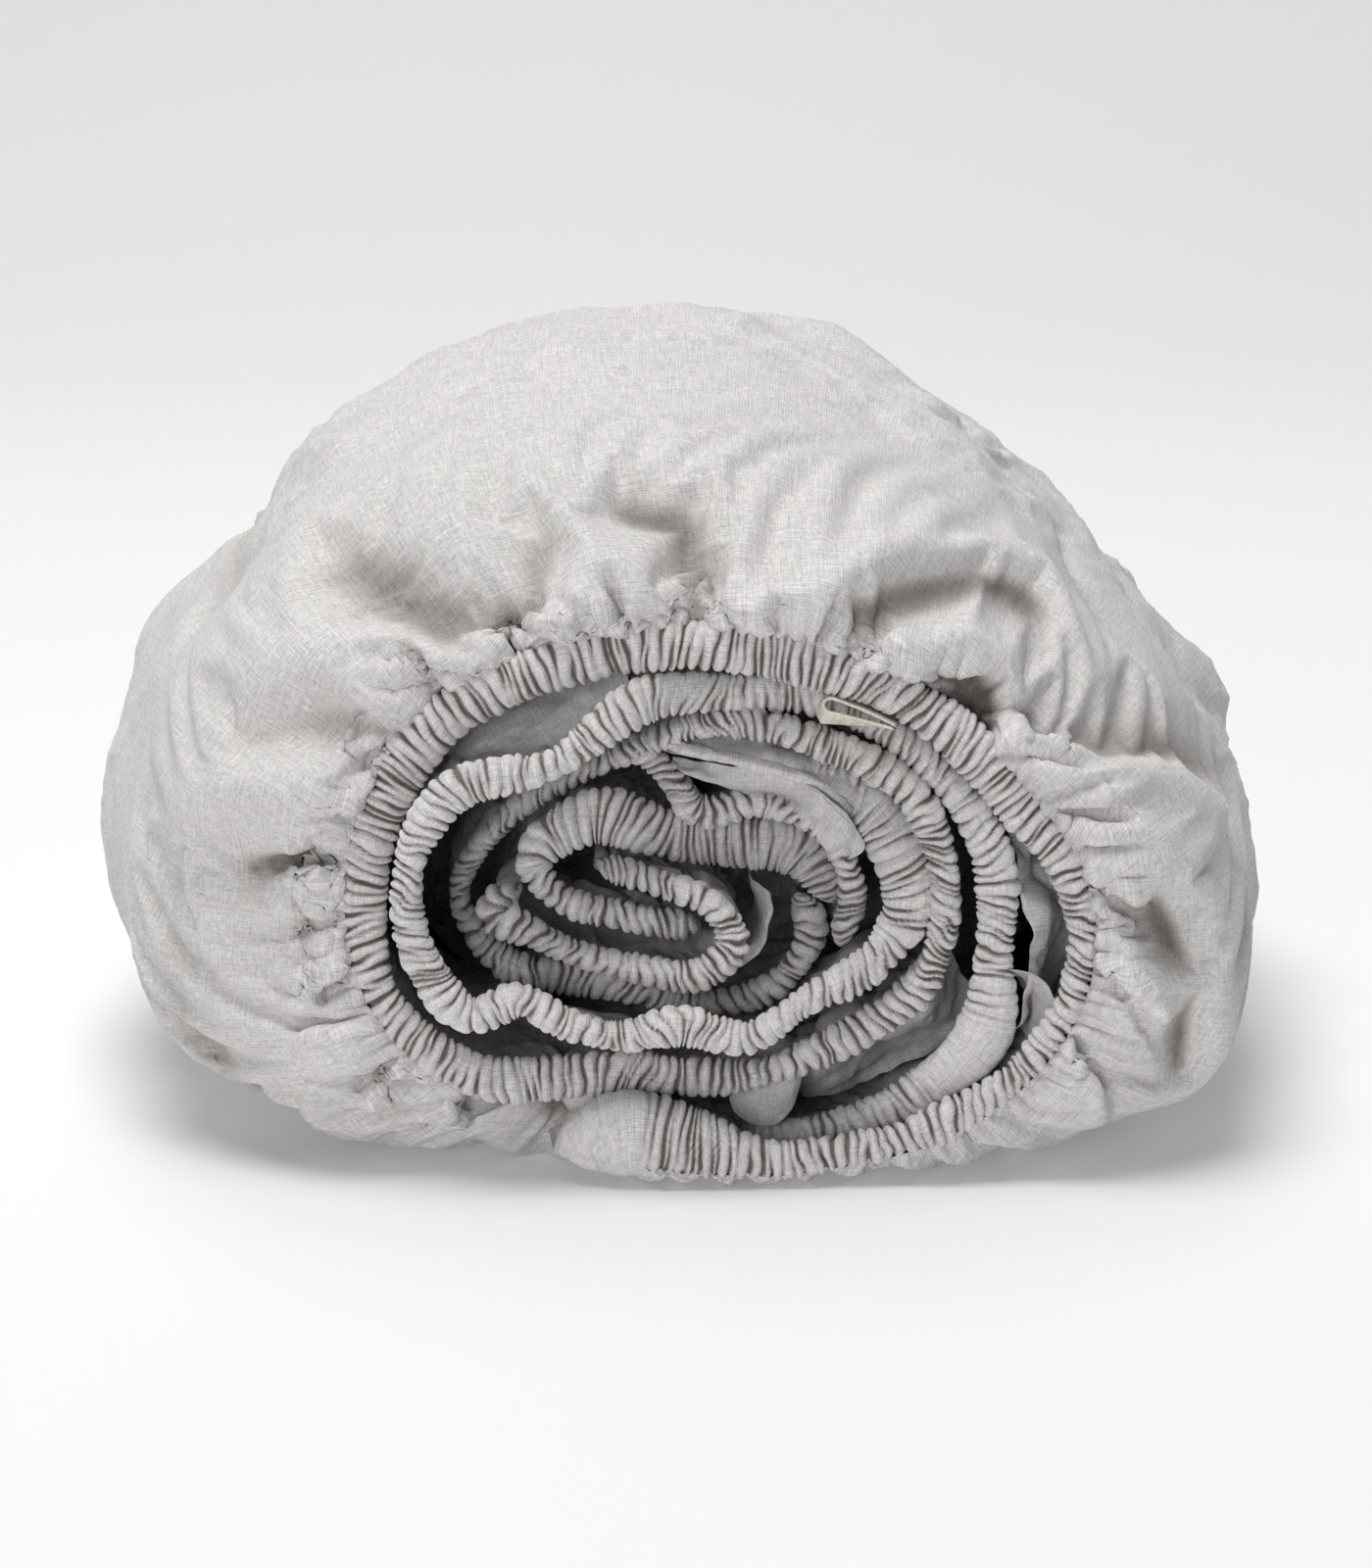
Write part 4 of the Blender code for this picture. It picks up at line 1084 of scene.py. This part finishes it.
def label_tape(name):
    """The folded tape: two layers under the ring's inner edge, joined by a round fold on the left."""
    path, at = even_path(LABEL_RING, 1.0)
    share = np.linspace(0, 1, LABEL_STEPS)
    place = LABEL_FROM + (LABEL_TO - LABEL_FROM) * share
    near = np.stack([np.interp(place, at, column) for column in np.hstack([path, side_of(path)]).T], axis=1)
    middle, inward = near[:, :2], near[:, 4:]
    reach = near[:, 3:4] / 2 + LABEL_BESIDE
    apart = (LABEL_CLOSED + (LABEL_OPEN - LABEL_CLOSED) * share**LABEL_OPENS)[:, None]
    upper = middle + inward * reach
    lower = middle + inward * (reach + apart + LABEL_BOW * np.sin(math.pi * share)[:, None])
    fold_at = (upper[-1] + lower[-1]) / 2
    half = (upper[-1] - lower[-1]) / 2
    left = np.array([half[1], -half[0]])
    left = left if left @ (upper[-2] - upper[-1]) < 0 else -left
    turns = np.linspace(0, math.pi, LABEL_STEPS)[1:-1, None]
    fold = fold_at + half * np.cos(turns) + left * np.sin(turns) * LABEL_FOLD
    line = np.concatenate([upper, fold, lower[::-1]])
    run = np.gradient(line, axis=0)
    across = np.stack([-run[:, 1], run[:, 0]], axis=1) / np.linalg.norm(run, axis=1)[:, None]
    length = length_so_far(line)
    front, rear = LABEL_DEPTH
    edge = LABEL_THICK / 2
    profile = [(-edge, front), (0.0, front - LABEL_EDGE), (edge, front), (edge, rear), (-edge, rear)]
    inward = np.concatenate([inward, np.repeat(inward[-1:], len(fold), axis=0), inward[::-1]])
    tilt = [0 * share, np.linspace(0, 1, len(fold)), np.linspace(1, LABEL_TILT_AT_END, len(share))]
    tilt = LABEL_TILT * np.concatenate(tilt)
    columns = []
    for off, depth in profile:
        shift = across * off + inward * (tilt * (depth - front) / (rear - front))[:, None]
        columns.append(with_depth(line + shift, depth))
    points = np.stack(columns, axis=1)
    ends = [np.broadcast_to(points[end].mean(axis=0), points[end].shape)[None] for end in (0, -1)]
    points = np.concatenate([ends[0], points, ends[1]])
    length = np.concatenate([length[:1], length, length[-1:]])
    coords = spread(length[:, None], np.array(LABEL_GIRTH))
    relief = np.full(points.shape[:2], LABEL_RELIEF)
    return cloth_object(name, [Grid(points, coords, relief, normals_of(points), True)])


# A record for the size that a piece of cloth is cut to, in metres, and how it is held. Where the cut isn't a
# rectangle its area goes in too. No piece here is given one.
Cut = namedtuple("Cut", "width length held area", defaults=("folded", None))


class Nodes:
    """Makes and links the shader nodes of one material."""

    def __init__(self, material):
        material.use_nodes = True
        self.tree = material.node_tree
        self.shader = self.tree.nodes["Principled BSDF"]

    def add(self, kind, inputs=None, **settings):
        node = self.tree.nodes.new(kind)
        for name, value in settings.items():
            setattr(node, name, value)
        for name, value in (inputs or {}).items():
            self.put(node.inputs[name], value)
        return node

    def put(self, socket, value):
        if isinstance(value, bpy.types.NodeSocket):
            self.tree.links.new(value, socket)
        else:
            socket.default_value = value

    def math(self, operation, first, second=0.0, third=0.0):
        node = self.add("ShaderNodeMath", operation=operation)
        for socket, value in zip(node.inputs, (first, second, third)):
            self.put(socket, value)
        return node.outputs[0]

    def stretched_noise(self, coords, across, down, detail):
        """Noise whose features are stretched by these scales across and down the cloth."""
        mapping = self.add("ShaderNodeMapping", {"Vector": coords, "Scale": (across, down, 1)})
        inputs = {"Vector": mapping.outputs[0], "Scale": 1.0, "Detail": detail}
        return self.add("ShaderNodeTexNoise", inputs).outputs["Fac"]

    def crossed_noise(self, coords, along, across, detail):
        """Noise about zero that is drawn out along the threads of both runs."""
        over = self.stretched_noise(coords, along, across, detail)
        down = self.stretched_noise(coords, across, along, detail)
        return self.math("SUBTRACT", self.math("ADD", over, down), 1.0)

    def set(self, **values):
        """Sets sockets of the shader that are the same all over."""
        for name, value in values.items():
            self.shader.inputs[name.replace("_", " ")].default_value = value


THREAD_PITCH = 0.63
# A cloth's valley colour is painted shade and its ridge colour is painted highlight; its colour is the
# cloth's own
Cloth = namedtuple("Cloth", "colour valley ridge roughness sheen weave slub")
LINEN = Cloth((0.625, 0.607, 0.600), (0.21, 0.187, 0.175), (0.675, 0.657, 0.652), 0.9, 0.15, 0.063, 0.476)
TAPE = Cloth((0.76, 0.70, 0.60), (0.60, 0.53, 0.43), (0.80, 0.74, 0.65), 0.80, 0.15, 0.035, 0.07)
THREAD_BENDS = 0.12
THREAD_WANDER = 1.6
SLUB_SCALE = (0.09, 1.5)  # along and across the threads
GRAIN_SCALE = (0.5, 1.5)
BROAD_SCALE = 0.025
GRAIN_TONE = 0.45
BROAD_TONE = 0.12
# The ramp turns painted light into colour: painted shade towards the valley colour, painted highlight towards
# the ridge colour
PAINTED_LIGHT_TO_RAMP = (0.5, 0.62)  # how steeply, and where the ramp stands for no relief
RAMP_STOPS = (0.15, 0.5, 0.95)  # for the valleys, the cloth and the ridges
SLUB_ROUGH = 0.12
WEAVE_BUMP = 0.25
SLUB_BUMP = 1.2
BUMP = {"Strength": 0.5, "Distance": 0.0003}


def cloth_material(name, cloth):
    """Plain weave of uneven threads: colour, bump and roughness from the threads; painted shade in the
    valleys, painted highlight on the ridges.
    """
    material = bpy.data.materials.new(name)
    nodes = Nodes(material)
    shader = nodes.shader
    coords = nodes.add("ShaderNodeUVMap", uv_map="cloth").outputs[0]
    bend = nodes.stretched_noise(coords, THREAD_BENDS, THREAD_BENDS, 2.0)
    parts = nodes.add("ShaderNodeSeparateXYZ", {"Vector": coords})
    threads = []
    for axis in (0, 1):
        along = nodes.math("MULTIPLY_ADD", bend, THREAD_WANDER, parts.outputs[axis])
        turn = nodes.math("MULTIPLY", along, 2 * math.pi / THREAD_PITCH)
        threads.append(nodes.math("SINE", turn))
    weave = nodes.math("ADD", threads[0], threads[1])
    slubs = nodes.crossed_noise(coords, *SLUB_SCALE, 2.0)
    grain = nodes.crossed_noise(coords, *GRAIN_SCALE, 1.0)
    broad = nodes.stretched_noise(coords, BROAD_SCALE, BROAD_SCALE, 3.0)
    # Painted shade in the folds and pleats and painted highlight on their ridges, through the ramp
    relief = nodes.add("ShaderNodeAttribute", attribute_name="relief").outputs["Fac"]
    ramp = nodes.add("ShaderNodeValToRGB", {"Fac": nodes.math("MULTIPLY_ADD", relief, *PAINTED_LIGHT_TO_RAMP)})
    stops = ramp.color_ramp.elements
    low, mid, high = RAMP_STOPS
    stops[0].position, stops[0].color = low, (*cloth.valley, 1)
    stops[1].position, stops[1].color = high, (*cloth.ridge, 1)
    middle = stops.new(mid)
    middle.color = (*cloth.colour, 1)
    tone = nodes.math("MULTIPLY_ADD", slubs, cloth.slub, 1.0)
    tone = nodes.math("MULTIPLY_ADD", weave, cloth.weave, tone)
    tone = nodes.math("MULTIPLY_ADD", grain, GRAIN_TONE, tone)
    tone = nodes.math("MULTIPLY_ADD", nodes.math("SUBTRACT", broad, 0.5), BROAD_TONE, tone)
    tinted = nodes.add("ShaderNodeVectorMath", {0: ramp.outputs[0]}, operation="SCALE")
    nodes.put(tinted.inputs["Scale"], tone)
    nodes.put(shader.inputs["Base Color"], tinted.outputs[0])
    nodes.put(shader.inputs["Roughness"], nodes.math("MULTIPLY_ADD", slubs, SLUB_ROUGH, cloth.roughness))
    height = nodes.math("MULTIPLY_ADD", weave, WEAVE_BUMP, nodes.math("MULTIPLY", slubs, SLUB_BUMP))
    bump = nodes.add("ShaderNodeBump", {**BUMP, "Height": height})
    nodes.put(shader.inputs["Normal"], bump.outputs[0])
    nodes.set(Metallic=0.0, Specular_IOR_Level=0.25, Sheen_Weight=cloth.sheen, Sheen_Roughness=0.5)
    return material


# The camera and lights, in the tables' millimetres
CAMERA_TARGET = (-7.7, 0, 103)
CAMERA_RISE = 12.0
CAMERA_AWAY = 1300.0
CAMERA_LENS = 121.875
SENSOR = 36.0

Lamp = namedtuple("Lamp", "place aim size power colour")
LAMPS = {
    "overhead": Lamp((-300, -200, 2300), (0, 100, 80), 1500, 38, (1.0, 0.997, 0.99)),
    "rear": Lamp((-200, 1200, 1900), (0, 200, 80), 1000, 7, (1.0, 1.0, 1.0)),
    "front": Lamp((-500, -1800, 350), (0, 0, 60), 750, 11.5, (1.0, 0.995, 0.99)),
    "backdrop": Lamp((0, 900, 2600), (0, 3000, 500), 2000, 14, (1.0, 1.0, 1.0)),
}
WORLD_COLOUR = (0.86, 0.86, 0.865)
WORLD_STRENGTH = 0.18
FLOOR_COLOUR = (0.76, 0.76, 0.76)
FLOOR_GLOW = 0.14
FLOOR_REACH = 4000.0
FLOOR_BEND = 1500.0  # it turns up this far behind, with this radius
FLOOR_TALL = 3500.0
FLOOR_STEPS = 24


def to_frame(point):
    return (np.array(point, float) - SHIFT) * MM


def aimed(obj, place, target):
    """Puts an object at a place, looking at a target."""
    start, end = Vector(to_frame(place)), Vector(to_frame(target))
    obj.location = start
    obj.rotation_euler = (end - start).to_track_quat("-Z", "Y").to_euler()
    bpy.context.scene.collection.objects.link(obj)


def paper_floor():
    """A plain pale floor that curves up behind."""
    turns = np.linspace(0, math.pi / 2, FLOOR_STEPS)
    curve = [(FLOOR_BEND * (1 + math.sin(turn)), FLOOR_BEND * (1 - math.cos(turn))) for turn in turns]
    line = [(-FLOOR_REACH, 0), *curve, (2 * FLOOR_BEND, FLOOR_TALL)]
    points = [to_frame((x, y, z)) for y, z in line for x in (-FLOOR_REACH, FLOOR_REACH)]
    faces = [(2 * i, 2 * i + 1, 2 * i + 3, 2 * i + 2) for i in range(len(line) - 1)]
    mesh = bpy.data.meshes.new("floor")
    mesh.from_pydata([tuple(point) for point in points], [], faces)
    mesh.shade_smooth()
    floor = bpy.data.objects.new("floor", mesh)
    bpy.context.scene.collection.objects.link(floor)
    paper = bpy.data.materials.new("paper")
    nodes = Nodes(paper)
    nodes.set(Base_Color=(*FLOOR_COLOUR, 1), Roughness=0.9, Specular_IOR_Level=0.1)
    nodes.set(Emission_Color=(1, 1, 1, 1), Emission_Strength=FLOOR_GLOW)
    mesh.materials.append(paper)


def studio():
    """Camera, lights and the floor."""
    camera = bpy.data.cameras.new("camera")
    camera.lens = CAMERA_LENS
    camera.sensor_width = SENSOR
    camera.clip_end = 50
    view = bpy.data.objects.new("camera", camera)
    rise = math.radians(CAMERA_RISE)
    away = np.array((0, -math.cos(rise), math.sin(rise))) * CAMERA_AWAY
    aimed(view, np.array(CAMERA_TARGET) + away, CAMERA_TARGET)
    bpy.context.scene.camera = view
    for name, lamp in LAMPS.items():
        light = bpy.data.lights.new(name, "AREA")
        light.shape = "DISK"
        light.size = lamp.size * MM
        light.energy = lamp.power
        light.color = lamp.colour
        aimed(bpy.data.objects.new(name, light), lamp.place, lamp.aim)
    world = bpy.data.worlds.new("studio")
    world.use_nodes = True
    background = world.node_tree.nodes["Background"]
    background.inputs["Color"].default_value = (*WORLD_COLOUR, 1)
    background.inputs["Strength"].default_value = WORLD_STRENGTH
    bpy.context.scene.world = world
    bpy.context.scene.view_settings.view_transform = "Standard"
    paper_floor()


def main():
    linen = cloth_material("washed_linen", LINEN)
    tape = cloth_material("cotton_tape", TAPE)
    pieces = outer_cloth()
    for name, turn in TURNS.items():
        pieces.append(cloth_object(name, [casing_grid(turn), skirt_grid(turn)]))
    for name, loose in LOOSE.items():
        pieces.append(cloth_object(name, [loose_grid(loose)]))
    pieces.append(recess_cloth())
    label = label_tape("label_loop")
    for piece in pieces:
        piece.data.materials.append(linen)
        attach(piece, "root")
        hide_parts("rolled_sheet")
    label.data.materials.append(tape)
    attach(label, "root")
    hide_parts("label")
    studio()


main()
